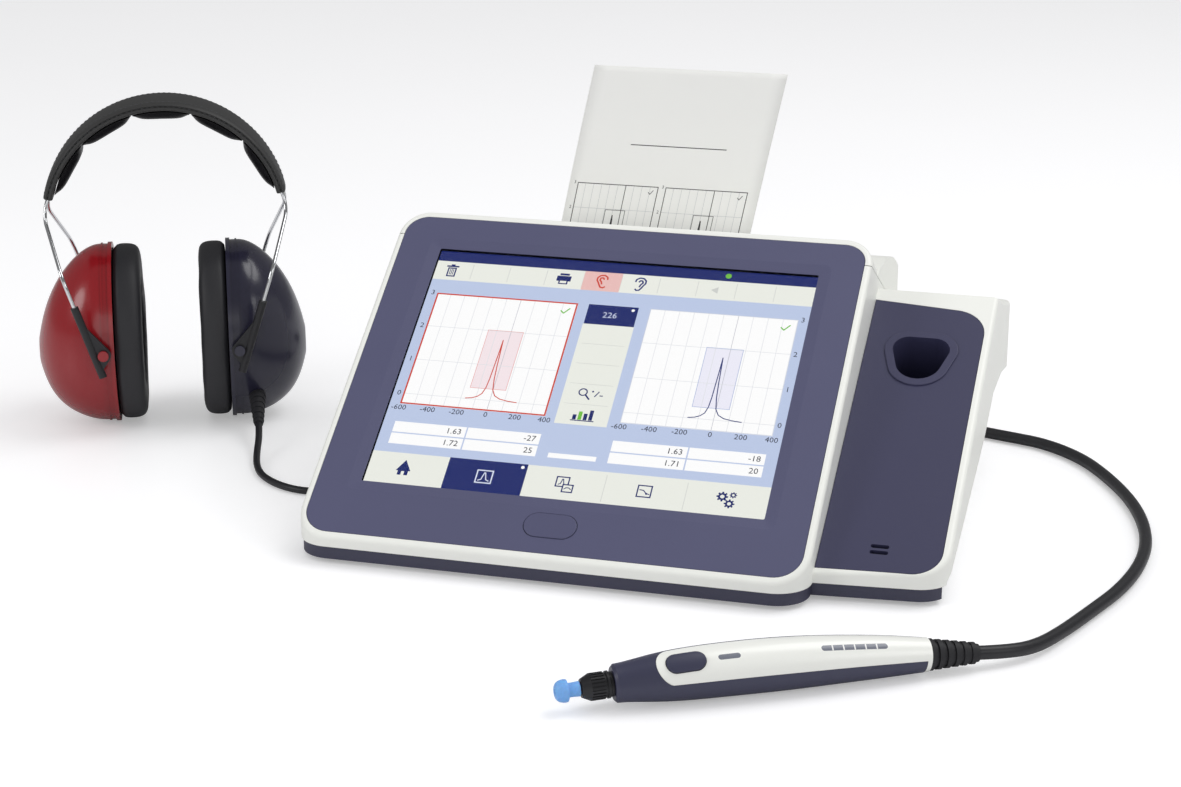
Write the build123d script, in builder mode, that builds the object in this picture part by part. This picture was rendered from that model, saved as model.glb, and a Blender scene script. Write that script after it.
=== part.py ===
from build123d import *
import math
import os

os.makedirs("parts", exist_ok=True)

# Driving sizes of the console, in millimetres and degrees
screen_width = 211.2
screen_height = screen_width * 3 / 4
roll_length = 110.0
console_depth = 282.0
front_overhang = 15.0
display_tilt = 35.0
cradle_tilt = 29.5
foot_height = 2.4
tray_height = 6.8
front_wall_height = 5.0
rim_width = 4.0

# The bezel and the face follow the screen
bezel_side_band = 23.4
bezel_top_band = 21.6
screen_from_bezel = 34.0
bezel_width = screen_width + 2 * bezel_side_band
bezel_height = screen_from_bezel + screen_height + bezel_top_band
main_width = bezel_width + 2 * rim_width
face_length = bezel_height + 2 * rim_width
lid_seam_from_ridge = 17.0
lid_seam_along = face_length - lid_seam_from_ridge
front_corner_radius = 18.0
rear_corner_radius = 20.0
rim_round = 2.5
wall = 2.6
seam_gap = 0.4
fit_gap = 0.3
overrun = 5.0

# Lid outline, as heights above the tray's top edge and distances ahead of the rear wall
lid_bend_ahead = 56.0
lid_bend_height = 92.0
lid_rear_height = 79.0
valley_ahead = 71.0
valley_height = 114.0
bulge_ahead = 35.0
bulge_height = 107.0
tail_ahead = 5.0
tail_height = 88.0

# Cradle wing beside the main block
cradle_width = 65.0
cradle_setback = 19.3
cradle_wall_height = 5.1
cradle_front_sweep = 6.0
cradle_rear_sweep = 11.0
cradle_face_length = 199.5
cradle_rear_gap = 2.0
cradle_front_radius = 17.0
cradle_rear_radius = 22.0
cradle_root = 12.0

# Display
bezel_thickness = 2.4
bezel_low_radius = 14.0
bezel_top_radius = 12.0
ledge_thickness = 2.6
ledge_width = 3.2
recess_margin = 6.6
recess_lip = 0.3
recess_overlap = 0.3
recess_depth = 1.4
recess_radius = 4.0
glass_margin = 3.6
glass_thickness = 1.8
module_margin = 6.0
module_thickness = 8.0

# Derived places on the console
main_half = main_width / 2
front_y = -front_overhang
rear_y = console_depth - front_overhang
tray_top = foot_height + tray_height
rim_z = tray_top + front_wall_height
display_cos = math.cos(math.radians(display_tilt))
display_sin = math.sin(math.radians(display_tilt))
cradle_cos = math.cos(math.radians(cradle_tilt))
cradle_sin = math.sin(math.radians(cradle_tilt))
cradle_front_y = front_y + cradle_setback
cradle_rim_z = tray_top + cradle_wall_height
cradle_side = main_half + cradle_width
lid_bend = (rear_y - lid_bend_ahead, tray_top + lid_bend_height)
lid_rear = (rear_y, tray_top + lid_rear_height)
valley = (rear_y - valley_ahead, tray_top + valley_height)
bulge = (rear_y - bulge_ahead, tray_top + bulge_height)
tail = (rear_y - tail_ahead, tray_top + tail_height)

display_plane = Plane(
    origin=(0, front_y, rim_z), x_dir=(1, 0, 0), z_dir=(0, -display_sin, display_cos)
)
cradle_plane = Plane(
    origin=(main_half, cradle_front_y, cradle_rim_z),
    x_dir=(1, 0, 0),
    z_dir=(0, -cradle_sin, cradle_cos),
)
display_axis = Axis(display_plane.origin, display_plane.z_dir)
cradle_axis = Axis(cradle_plane.origin, cradle_plane.z_dir)


def display_point(along, below=0.0):
    """A point of the sloping display face, in the side view, sunk square to the face."""
    return (
        front_y + along * display_cos + below * display_sin,
        rim_z + along * display_sin - below * display_cos,
    )


def cradle_point(along, below=0.0):
    """The same on the cradle's sloping face."""
    return (
        cradle_front_y + along * cradle_cos + below * cradle_sin,
        cradle_rim_z + along * cradle_sin - below * cradle_cos,
    )


def side_face(points):
    """A closed outline of straight lines, in the sketch that is open."""
    with BuildLine() as outline:
        Polyline(*points, close=True)
    make_face(outline.edges())


def rounded_block(middle, width, height, low_radius, top_radius):
    """A rectangle with one radius on its low corners and another on its top ones."""
    left = -width / 2
    right = width / 2
    low = middle - height / 2
    top = middle + height / 2
    start = (left + low_radius, low)
    end = (left, low + low_radius)
    inward = low_radius * (1 - math.sqrt(1 / 2))
    with BuildLine() as outline:
        FilletPolyline(
            start, (right, low), (right, top), (left, top), end,
            radius=[low_radius, top_radius, top_radius],
        )
        ThreePointArc(end, (left + inward, low + inward), start)
    make_face(outline.edges())


def main_profile(bottom):
    """Side outline of the main block with its lid."""
    ridge = display_point(face_length)
    with BuildLine() as outline:
        Polyline((front_y, bottom), (front_y, rim_z), ridge, valley)
        ThreePointArc(valley, bulge, tail)
        Polyline(tail, lid_rear, (rear_y, bottom), (front_y, bottom))
    make_face(outline.edges())


def main_plan(inset):
    """Plan outline of the main block."""
    rounded_block(
        (front_y + rear_y) / 2,
        main_width - 2 * inset,
        console_depth - 2 * inset,
        front_corner_radius - inset,
        rear_corner_radius - inset,
    )


def wing_plan(inset):
    """Plan outline of the cradle wing, which reaches a little into the main block."""
    left = main_half - cradle_root
    right = cradle_side - inset
    front = cradle_front_y + inset
    rear = rear_y - cradle_rear_gap - inset
    with BuildLine() as outline:
        FilletPolyline(
            (left, front),
            (main_half, front),
            (right, front + cradle_front_sweep),
            (right, rear + cradle_rear_gap - cradle_rear_sweep),
            (main_half, rear),
            (left, rear),
            radius=[cradle_root, cradle_front_radius - inset, cradle_rear_radius - inset, cradle_root],
        )
        Line((left, rear), (left, front))
    make_face(outline.edges())


# The wing's underside rises from the tray to the lower edge of its side wall
hull_along = [34.0, 155.0, 190.0, 225.0, 290.0]
hull_edge_rise = [3.4, 35.3, 50.8, 52.0, 41.0]
hull_foot_inset = [3.0, 26.0, 32.0, 38.0, 50.0]
hull_reach = 12.0
hull_sink = 8.0


def hull_cutter(inset):
    """Everything outside the hull, as a ruled loft through one outline at each station."""
    with BuildPart() as cutter:
        for along, rise, foot in zip(hull_along, hull_edge_rise, hull_foot_inset):
            edge = (cradle_side - inset, tray_top + rise)
            base = (cradle_side - foot - inset, tray_top)
            slope = (edge[0] - base[0]) / (edge[1] - base[1])
            with BuildSketch(Plane.XZ.offset(-(front_y + along))):
                side_face(
                    [
                        (base[0] - slope * hull_sink, base[1] - hull_sink),
                        (edge[0] + slope * inset, edge[1] + inset),
                        (cradle_side + hull_reach, edge[1] + inset),
                        (cradle_side + hull_reach, base[1] - hull_sink),
                    ]
                )
        loft(ruled=True)
    return cutter.part


def lid_zone(lower):
    """Everything above the lid's seam, in the side view, lowered by a gap."""
    seam = display_point(lid_seam_along)
    top = rim_z + face_length
    side_face(
        [
            (seam[0] - lower, seam[1] - lower),
            (seam[0] - lower, top),
            (rear_y + overrun, top),
            (rear_y + overrun, lid_rear[1] - lower),
            (lid_rear[0], lid_rear[1] - lower),
            (lid_bend[0], lid_bend[1] - lower),
        ]
    )


# Lid hinge behind the rear wall
hinge_stand = 0.5
knuckle_radius = 3.5
hinge_pin_radius = 1.5
hinge_running = 0.08
knuckle_length = 16.0
knuckle_pitch = 16.6
lid_knuckles_at = [-3.5, -1.5, 1.5, 3.5]
housing_knuckles_at = [-4.5, -2.5, -0.5, 0.5, 2.5, 4.5]
hinge_y = rear_y + hinge_stand
hinge_z = lid_rear[1]
hinge_room = knuckle_radius + 0.5
hinge_room_length = 170.0
hinge_arm = 7.0

# Connector plate in the rear wall, screws and loudspeaker
plate_width = 190.0
plate_height = 34.0
plate_thickness = 1.6
plate_lap = 3.0
socket_height = 34.0
screw_inset = 15.0
screw_front_y = 10.0
screw_rear_y = rear_y - 22.0
screw_across = main_half - screw_inset
screw_places = [
    (-screw_across, screw_front_y),
    (screw_across, screw_front_y),
    (-screw_across, screw_rear_y),
    (screw_across, screw_rear_y),
]
boss_radius = 4.5
boss_height = 12.0
screw_radius = 1.4
speaker_across = 29.7
speaker_along = 18.9
speaker_hole_radius = 9.0


def report(piece, name):
    """Name the piece, write it out and print its size."""
    piece.part.label = name
    export_step(piece.part, "parts/" + name + ".step")
    print(name, round(piece.part.volume, 1), len(piece.part.solids()))


def ridge_corners(block):
    """The two edges that run from the ridge's ends down to the valley."""
    ridge_y = display_point(face_length)[0]
    sides = block.edges().filter_by(lambda e: abs((e @ 0).X - (e @ 1).X) < seam_gap)
    slopes = sides.filter_by(lambda e: abs((e @ 0).Z - (e @ 1).Z) > wall)
    return slopes.filter_by(lambda e: ridge_y - wall < (e @ 0.5).Y < valley[0])


# Skin of the main block, from which the housing and the lid are parted
with BuildPart() as main_skin:
    with BuildSketch(Plane.YZ.offset(-main_half)):
        main_profile(tray_top)
    extrude(amount=main_width)
    with BuildSketch(Plane.XY):
        main_plan(0)
    extrude(amount=face_length, mode=Mode.INTERSECT)
    fillet(ridge_corners(main_skin), radius=bezel_top_radius + rim_width)
    slope_faces = main_skin.faces().filter_by(lambda f: f.normal_at().Z > 0.5)
    front_face = slope_faces.sort_by(Axis.Y)[0]
    fillet(front_face.edges(), radius=rim_round)

with BuildPart() as main_hollow:
    with BuildSketch(Plane.YZ.offset(wall - main_half)):
        main_profile(0)
        offset(amount=-wall, kind=Kind.INTERSECTION)
    extrude(amount=main_width - 2 * wall)
    with BuildSketch(Plane.XY):
        main_plan(wall)
    extrude(amount=face_length, mode=Mode.INTERSECT)
    fillet(ridge_corners(main_hollow), radius=bezel_top_radius + rim_width - wall)

# The roof under the display stays thick enough for the bezel and its ledge
with BuildPart() as display_roof:
    with BuildSketch(display_plane):
        with Locations((0, lid_seam_along / 2)):
            Rectangle(main_width, lid_seam_along)
    extrude(amount=-(bezel_thickness + ledge_thickness))

with BuildPart() as bezel_pocket:
    with BuildSketch(display_plane.offset(overrun)):
        rounded_block(
            rim_width + bezel_height / 2,
            bezel_width + 2 * fit_gap,
            bezel_height + 2 * fit_gap,
            bezel_low_radius + fit_gap,
            bezel_top_radius + fit_gap,
        )
    extrude(amount=-(overrun + bezel_thickness))

with BuildPart() as low_hollow:
    add(main_hollow.part)
    add(display_roof.part, mode=Mode.SUBTRACT)

ledge_opening_width = bezel_width - 2 * ledge_width
ledge_opening_height = bezel_height - 2 * ledge_width
bridge_reach = 1.2
bridge_overlap = 6.0

# Cradle wing: outer solid and its hollow
outer_hull = hull_cutter(0)
inner_hull = hull_cutter(wall)
crest = cradle_point(cradle_face_length)
with BuildPart() as wing_skin:
    with BuildSketch(Plane.YZ.offset(main_half - cradle_root)):
        side_face(
            [
                (cradle_front_y, tray_top),
                (cradle_front_y, cradle_rim_z),
                crest,
                lid_bend,
                lid_rear,
                (rear_y, tray_top),
            ]
        )
    extrude(amount=cradle_width + cradle_root)
    with BuildSketch(Plane.XY):
        wing_plan(0)
    extrude(amount=face_length, mode=Mode.INTERSECT)
    wing_tops = wing_skin.faces().filter_by(lambda f: f.normal_at().Z > 0.5)
    rim_edges = wing_tops.edges().filter_by(lambda e: (e @ 0.5).X > main_half + wall)
    outer_edges = [e for e in rim_edges if len([f for f in wing_tops if e in f.edges()]) == 1]
    fillet(outer_edges, radius=rim_round)
    add(outer_hull, mode=Mode.SUBTRACT)

cradle_roof = bezel_thickness + ledge_thickness
with BuildPart() as wing_hollow:
    with BuildSketch(Plane.YZ.offset(main_half)):
        roof_front = cradle_point(0, cradle_roof)
        roof_rear = cradle_point(cradle_face_length, cradle_roof)
        side_face(
            [
                (cradle_front_y, 0),
                (cradle_front_y, roof_front[1]),
                roof_rear,
                (lid_bend[0], lid_bend[1] - cradle_roof),
                (rear_y, lid_rear[1] - cradle_roof),
                (rear_y, 0),
            ]
        )
    extrude(amount=cradle_width - wall)
    with BuildSketch(Plane.XY):
        wing_plan(wall)
    extrude(amount=face_length, mode=Mode.INTERSECT)
    add(inner_hull, mode=Mode.SUBTRACT)

# Cradle panel outline, on the cradle plane
panel_gap = 0.3
panel_bottom = 3.8
panel_top = 191.0
panel_width = 60.6
panel_top_sweep = 5.0
panel_bottom_sweep = 2.6
panel_low_radius = 14.5
panel_top_radius = 17.0
panel_thickness = bezel_thickness


def panel_outline(grow):
    """The cradle panel, or its pocket where it is grown by a gap."""
    left = panel_gap - grow
    right = panel_width + grow
    bottom = panel_bottom - grow
    top = panel_top + grow
    with BuildLine() as outline:
        FilletPolyline(
            (left, bottom),
            (right, bottom + panel_bottom_sweep),
            (right, top - panel_top_sweep),
            (left, top),
            radius=[panel_low_radius + grow, panel_top_radius + grow],
        )
        Line((left, top), (left, bottom))
    make_face(outline.edges())


# Probe cup: a rounded triangle across the panel
cup_centre = (29.8, 149.5)
cup_half_width = 15.0
cup_shoulder_radius = 8.5
cup_shoulder_up = 6.5
cup_toe_radius = 12.0
cup_toe_down = 3.0
cup_wall = 1.8
cup_depth = 42.0
cup_lip = 4.4
cup_lip_height = 0.9


def cup_outline(grow):
    """Three circles and the band round them."""
    shoulder = cup_half_width - cup_shoulder_radius
    with Locations((cup_centre[0], cup_centre[1])):
        with Locations((-shoulder, cup_shoulder_up), (shoulder, cup_shoulder_up)):
            Circle(cup_shoulder_radius + grow)
        with Locations((0, -cup_toe_down)):
            Circle(cup_toe_radius + grow)
    make_hull()


# Housing: one white shell over the main block and the wing
bridge_top = rim_width + bezel_height + bridge_reach
bridge_start = lid_seam_along - bridge_overlap
bezel_middle = rim_width + bezel_height / 2
with BuildPart() as upper_housing:
    add(main_skin.part)
    add(wing_skin.part)
    with BuildSketch(Plane.YZ.offset(-main_half - overrun)):
        lid_zone(seam_gap)
    extrude(amount=main_width + overrun + fit_gap, mode=Mode.SUBTRACT)
    add(low_hollow.part, mode=Mode.SUBTRACT)
    add(wing_hollow.part, mode=Mode.SUBTRACT)
    add(bezel_pocket.part, mode=Mode.SUBTRACT)
    with BuildSketch(display_plane.offset(-bezel_thickness)):
        with Locations((0, bezel_middle)):
            Rectangle(ledge_opening_width, ledge_opening_height)
    extrude(amount=-(ledge_thickness + wall), mode=Mode.SUBTRACT)
    # The ledge runs on under the bezel's top edge, where the lid wraps round it
    with BuildSketch(display_plane.offset(-bezel_thickness)):
        rounded_block(
            (bridge_start + bridge_top) / 2,
            bezel_width - 2 * fit_gap,
            bridge_top - bridge_start,
            fit_gap,
            bezel_top_radius,
        )
        with Locations((0, bezel_middle)):
            Rectangle(ledge_opening_width, ledge_opening_height, mode=Mode.SUBTRACT)
    extrude(amount=-ledge_thickness)
    # Pocket and openings for the cradle panel
    with BuildSketch(cradle_plane.offset(overrun)):
        panel_outline(panel_gap)
    extrude(amount=-(overrun + panel_thickness), mode=Mode.SUBTRACT)
    with BuildSketch(cradle_plane):
        cup_outline(cup_wall + fit_gap)
        with Locations((speaker_across, speaker_along)):
            Circle(speaker_hole_radius)
    extrude(amount=-(cradle_roof + wall), mode=Mode.SUBTRACT)
    # Room for the lid's knuckles, then the housing's own
    with BuildSketch(Plane.YZ.offset(-hinge_room_length / 2)):
        with Locations((hinge_y, hinge_z)):
            Circle(hinge_room)
    extrude(amount=hinge_room_length, mode=Mode.SUBTRACT)
    for step in housing_knuckles_at:
        with BuildSketch(Plane.YZ.offset(step * knuckle_pitch - knuckle_length / 2)):
            with Locations((hinge_y, hinge_z)):
                Circle(knuckle_radius)
            with Locations((hinge_y - knuckle_radius / 2, hinge_z - hinge_arm / 2)):
                Rectangle(knuckle_radius, hinge_arm)
            with Locations((hinge_y, hinge_z)):
                Circle(hinge_pin_radius, mode=Mode.SUBTRACT)
        extrude(amount=knuckle_length)
    # Window and rebate for the connector plate in the rear wall
    with BuildSketch(Plane.XZ.offset(-rear_y - overrun)):
        with Locations((0, socket_height)):
            Rectangle(plate_width - 2 * plate_lap, plate_height - 2 * plate_lap)
    extrude(amount=wall + 2 * overrun, mode=Mode.SUBTRACT)
    with BuildSketch(Plane.XZ.offset(-rear_y - overrun)):
        with Locations((0, socket_height)):
            Rectangle(plate_width + 2 * fit_gap, plate_height + 2 * fit_gap)
    extrude(amount=plate_thickness + overrun, mode=Mode.SUBTRACT)
    # Screw bosses in the corners
    with BuildSketch(Plane.XY.offset(tray_top)):
        with Locations(*screw_places):
            Circle(boss_radius)
            Circle(screw_radius, mode=Mode.SUBTRACT)
        for across, along in screw_places:
            side = math.copysign(1, across)
            reach = main_half - wall / 2 - abs(across) - screw_radius - wall / 2
            with Locations((across + side * (screw_radius + wall / 2 + reach / 2), along)):
                Rectangle(reach, wall)
    extrude(amount=boss_height)
report(upper_housing, "upper_housing")

# Printer inside: platen roller, paper roll and the slit in the lid
printer_x = -3.0
platen_y = 214.0
platen_z = 107.5
platen_radius = 6.0
platen_length = roll_length + 2.0
shaft_radius = 2.5
shaft_running = 0.06
cheek_at = roll_length / 2 + 5.0
cheek_thickness = 3.0
cheek_half_width = 5.5
cheek_low = 102.5
cheek_skin = 0.8
slit_y = 219.0
slit_width = 4.0
slit_length = roll_length + 9.0
roll_y = 222.0
roll_z = 66.0
roll_radius = 25.0

with BuildPart() as printer_lid:
    add(main_skin.part)
    with BuildSketch(Plane.YZ.offset(-main_half - overrun)):
        lid_zone(0)
    extrude(amount=main_width + 2 * overrun, mode=Mode.INTERSECT)
    add(main_hollow.part, mode=Mode.SUBTRACT)
    add(bezel_pocket.part, mode=Mode.SUBTRACT)
    # Clearance over the housing's ledge, under a lip of the ridge
    with BuildSketch(display_plane.offset(seam_gap - bezel_thickness)):
        rounded_block(
            (bridge_start + bridge_top + seam_gap) / 2,
            bezel_width + 2 * fit_gap,
            bridge_top + seam_gap - bridge_start,
            fit_gap,
            bezel_top_radius + fit_gap,
        )
    extrude(amount=-(ledge_thickness + 2 * seam_gap), mode=Mode.SUBTRACT)
    # Cheeks that carry the platen roller
    for side in (-1, 1):
        cheek_x = printer_x + side * cheek_at - cheek_thickness / 2
        with BuildSketch(Plane.YZ.offset(cheek_x)):
            main_profile(tray_top)
            offset(amount=-cheek_skin, kind=Kind.INTERSECTION)
            with Locations((platen_y, cheek_low + tray_height * 2)):
                Rectangle(2 * cheek_half_width, tray_height * 4, mode=Mode.INTERSECT)
            with Locations((platen_y, platen_z)):
                Circle(shaft_radius + shaft_running, mode=Mode.SUBTRACT)
        extrude(amount=cheek_thickness)
    # Paper slit
    with BuildSketch(Plane.XY.offset(platen_z + platen_radius)):
        with Locations((printer_x, slit_y)):
            Rectangle(slit_length, slit_width)
    extrude(amount=roll_radius, mode=Mode.SUBTRACT)
    # Knuckles
    with BuildSketch(Plane.YZ.offset(-hinge_room_length / 2)):
        with Locations((hinge_y, hinge_z)):
            Circle(hinge_room)
    extrude(amount=hinge_room_length, mode=Mode.SUBTRACT)
    for step in lid_knuckles_at:
        with BuildSketch(Plane.YZ.offset(step * knuckle_pitch - knuckle_length / 2)):
            with Locations((hinge_y, hinge_z)):
                Circle(knuckle_radius)
            with Locations((hinge_y - knuckle_radius, hinge_z + hinge_arm / 2)):
                Rectangle(2 * knuckle_radius, hinge_arm)
            with Locations((hinge_y, hinge_z)):
                Circle(hinge_pin_radius + hinge_running, mode=Mode.SUBTRACT)
        extrude(amount=knuckle_length)
report(printer_lid, "printer_lid")

rod_length = (housing_knuckles_at[-1] - housing_knuckles_at[0]) * knuckle_pitch + knuckle_length
with BuildPart() as lid_hinge_rod:
    with BuildSketch(Plane.YZ.offset(-rod_length / 2)):
        with Locations((hinge_y, hinge_z)):
            Circle(hinge_pin_radius)
    extrude(amount=rod_length)
report(lid_hinge_rod, "lid_hinge_rod")

# Dark tray under the housing, with its feet
tray_inset = 1.0
tray_floor = 2.4
tray_wall = 3.4
head_hole_radius = 3.0


def tray_plan(inset):
    """Plan of the tray: the main block, and the wing as far as its hull reaches."""
    left = main_half - cradle_root
    edge = cradle_side - inset
    main_plan(inset)
    with BuildSketch() as wing_part:
        wing_plan(inset)
        with BuildLine() as line:
            Polyline(
                (left, front_y),
                (edge, front_y),
                (edge, cradle_front_y + cradle_front_sweep),
                (edge - hull_foot_inset[0], front_y + hull_along[0]),
                (edge - hull_foot_inset[1], front_y + hull_along[1]),
                (edge - hull_foot_inset[3], front_y + hull_along[3]),
                (edge - hull_foot_inset[4], rear_y),
                (left, rear_y),
                close=True,
            )
        make_face(line.edges(), mode=Mode.INTERSECT)
    add(wing_part.sketch)


spindle_radius = 6.0
spindle_length = roll_length + 14.0
bracket_at = roll_length / 2 + 3.5
bracket_thickness = 3.0
bracket_width = 22.0
bracket_top_radius = 9.0
board_height = 11.0
board_post_radius = 3.0
board_left = -105.0
board_right = 25.0
board_front = 35.0
board_rear = 135.0
board_places = [
    (board_left, board_front),
    (board_right, board_front),
    (board_left, board_rear),
    (board_right, board_rear),
]

with BuildPart() as base_tray:
    with BuildSketch(Plane.XY.offset(foot_height)):
        tray_plan(tray_inset)
    extrude(amount=tray_height)
    with BuildSketch(Plane.XY.offset(foot_height + tray_floor)):
        tray_plan(tray_wall)
    extrude(amount=tray_height, mode=Mode.SUBTRACT)
    # Screw pads in the corners
    with BuildSketch(Plane.XY.offset(foot_height)):
        with Locations(*screw_places):
            Circle(boss_radius)
    extrude(amount=tray_height)
    with BuildSketch(Plane.XY.offset(foot_height)):
        with Locations(*screw_places):
            Circle(screw_radius)
    extrude(amount=tray_height, mode=Mode.SUBTRACT)
    with BuildSketch(Plane.XY.offset(foot_height)):
        with Locations(*screw_places):
            Circle(head_hole_radius + fit_gap)
    extrude(amount=tray_floor, mode=Mode.SUBTRACT)
    # Brackets of the paper roll
    for side in (-1, 1):
        with BuildSketch(Plane.YZ.offset(printer_x + side * bracket_at - bracket_thickness / 2)):
            with Locations((roll_y, (foot_height + roll_z) / 2)):
                Rectangle(bracket_width, roll_z - foot_height)
            with Locations((roll_y, roll_z)):
                Circle(bracket_width / 2)
                Circle(spindle_radius, mode=Mode.SUBTRACT)
        extrude(amount=bracket_thickness)
    # Posts of the main board
    with BuildSketch(Plane.XY.offset(foot_height)):
        with Locations(*board_places):
            Circle(board_post_radius)
    extrude(amount=board_height - foot_height)
report(base_tray, "base_tray")

with BuildPart() as case_screws:
    with BuildSketch(Plane.XY.offset(foot_height)):
        with Locations(*screw_places):
            Circle(head_hole_radius)
    extrude(amount=tray_floor)
    with BuildSketch(Plane.XY.offset(foot_height)):
        with Locations(*screw_places):
            Circle(screw_radius)
    extrude(amount=boss_height)
report(case_screws, "case_screws")

front_foot_length = 190.0
front_foot_width = 14.0
with BuildPart() as front_foot:
    with BuildSketch():
        SlotOverall(front_foot_length, front_foot_width)
    extrude(amount=foot_height)
report(front_foot, "front_foot")

foot_radius = 9.0
foot_places = [(-100.0, 232.0), (100.0, 232.0), (168.0, 60.0)]
with BuildPart() as round_feet:
    with BuildSketch():
        with Locations(*foot_places):
            Circle(foot_radius)
    extrude(amount=foot_height)
report(round_feet, "round_feet")

# Display: bezel, touch glass, screen module
window_width = screen_width + 2 * recess_margin
window_height = screen_height + 2 * recess_margin
view_width = screen_width + 2 * recess_overlap
view_height = screen_height + 2 * recess_overlap
view_radius = 0.8
screen_middle = rim_width + screen_from_bezel + screen_height / 2
button_along = 20.6
button_width = 27.5
button_height = 14.4
button_stand = 0.5
button_depth = 4.2
button_travel = 1.0
button_flange = 3.0
button_hole_gap = 0.3
peg_at = 20.5
peg_radius = 2.4
switch_board_depth = 7.0
board_thickness = 1.6

with BuildPart() as display_bezel:
    with BuildSketch(display_plane):
        rounded_block(bezel_middle, bezel_width, bezel_height, bezel_low_radius, bezel_top_radius)
        with Locations((0, button_along)):
            SlotOverall(
                button_width + 2 * button_hole_gap,
                button_height + 2 * button_hole_gap,
                mode=Mode.SUBTRACT,
            )
    extrude(amount=-bezel_thickness)
    # The ring round the screen slopes down to a thin lip over the glass
    with BuildSketch(display_plane):
        with Locations((0, screen_middle)):
            RectangleRounded(window_width, window_height, recess_radius)
    with BuildSketch(display_plane.offset(recess_lip - recess_depth)):
        with Locations((0, screen_middle)):
            RectangleRounded(view_width, view_height, view_radius)
    loft(mode=Mode.SUBTRACT)
    with BuildSketch(display_plane.offset(recess_lip - recess_depth)):
        with Locations((0, screen_middle)):
            RectangleRounded(view_width, view_height, view_radius)
    extrude(amount=-recess_lip, mode=Mode.SUBTRACT)
    with BuildSketch(display_plane.offset(-recess_depth)):
        with Locations((0, screen_middle)):
            RectangleRounded(
                window_width + 2 * glass_margin, window_height + 2 * glass_margin, recess_radius
            )
    extrude(amount=-(bezel_thickness - recess_depth), mode=Mode.SUBTRACT)
    with BuildSketch(display_plane.offset(-bezel_thickness)):
        with Locations((-peg_at, button_along), (peg_at, button_along)):
            Circle(peg_radius)
    extrude(amount=-(switch_board_depth - bezel_thickness))
report(display_bezel, "display_bezel")

glass_fit = 0.1
with BuildPart() as touch_glass:
    with BuildSketch(display_plane.offset(-recess_depth)):
        with Locations((0, screen_middle)):
            RectangleRounded(
                window_width + 2 * (glass_margin - glass_fit),
                window_height + 2 * (glass_margin - glass_fit),
                recess_radius,
            )
    extrude(amount=-glass_thickness)
report(touch_glass, "touch_glass")

with BuildPart() as lcd_module:
    with BuildSketch(display_plane.offset(-recess_depth - glass_thickness)):
        with Locations((0, screen_middle)):
            Rectangle(screen_width + 2 * module_margin, screen_height + 2 * module_margin)
    extrude(amount=-module_thickness)
report(lcd_module, "lcd_module")

with BuildPart() as power_button:
    with BuildSketch(display_plane.offset(button_stand)):
        with Locations((0, button_along)):
            SlotOverall(button_width, button_height)
    extrude(amount=-(button_stand + button_depth))
    top_rim = power_button.faces().sort_by(display_axis)[-1].edges()
    fillet(top_rim, radius=button_stand)
    with BuildSketch(display_plane.offset(-bezel_thickness - seam_gap)):
        with Locations((0, button_along)):
            Rectangle(button_width + 2 * button_flange, button_height / 2)
    extrude(amount=-(button_depth - bezel_thickness - seam_gap))
report(power_button, "power_button")

switch_board_width = 52.0
switch_size = 6.0
switch_rise = 1.3
with BuildPart() as switch_board:
    with BuildSketch(display_plane.offset(-switch_board_depth)):
        with Locations((0, button_along)):
            Rectangle(switch_board_width, button_height)
    extrude(amount=-board_thickness)
    with BuildSketch(display_plane.offset(-switch_board_depth)):
        with Locations((0, button_along)):
            Rectangle(switch_size, switch_size)
    extrude(amount=switch_rise)
report(switch_board, "switch_board")

# Cradle panel with its cup and loudspeaker
slot_length = 9.2
slot_height = 2.3
slot_pitch = 3.8
slot_corner = 1.1
cup_floor = 2.0
drain_radius = 1.3
with BuildPart() as cradle_panel:
    with BuildSketch(cradle_plane):
        panel_outline(0)
        cup_outline(cup_wall)
        with Locations((speaker_across, speaker_along)):
            with Locations((0, -slot_pitch / 2), (0, slot_pitch / 2)):
                RectangleRounded(slot_length, slot_height, slot_corner, mode=Mode.SUBTRACT)
    extrude(amount=-panel_thickness)
    with BuildSketch(cradle_plane):
        cup_outline(cup_wall)
    extrude(amount=-panel_thickness, mode=Mode.SUBTRACT)
report(cradle_panel, "cradle_panel")

with BuildPart() as probe_cup:
    with BuildSketch(cradle_plane):
        cup_outline(cup_lip)
    extrude(amount=cup_lip_height)
    lip_rim = probe_cup.faces().sort_by(cradle_axis)[-1].edges()
    fillet(lip_rim, radius=cup_lip_height - seam_gap)
    with BuildSketch(cradle_plane):
        cup_outline(cup_wall - glass_fit)
    extrude(amount=-cup_depth)
    with BuildSketch(cradle_plane.offset(cup_lip_height)):
        cup_outline(0)
    extrude(amount=-(cup_lip_height + cup_depth - cup_floor), mode=Mode.SUBTRACT)
    with BuildSketch(cradle_plane):
        with Locations(cup_centre):
            Circle(drain_radius)
    extrude(amount=-(cup_depth + cup_floor), mode=Mode.SUBTRACT)
report(probe_cup, "probe_cup")

speaker_radius = 8.5
speaker_flange = 1.4
speaker_depth = 6.0
speaker_magnet_radius = 5.0
with BuildPart() as speaker:
    with BuildSketch(cradle_plane.offset(-panel_thickness)):
        with Locations((speaker_across, speaker_along)):
            Circle(speaker_radius)
            Circle(speaker_radius - speaker_flange, mode=Mode.SUBTRACT)
    extrude(amount=-speaker_depth / 2)
    with BuildSketch(cradle_plane.offset(-panel_thickness - speaker_depth / 4)):
        with Locations((speaker_across, speaker_along)):
            Circle(speaker_radius - speaker_flange / 2)
    extrude(amount=-speaker_depth / 4)
    with BuildSketch(cradle_plane.offset(-panel_thickness - speaker_depth / 2)):
        with Locations((speaker_across, speaker_along)):
            Circle(speaker_magnet_radius)
    extrude(amount=-speaker_depth / 2)
report(speaker, "speaker")

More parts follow.
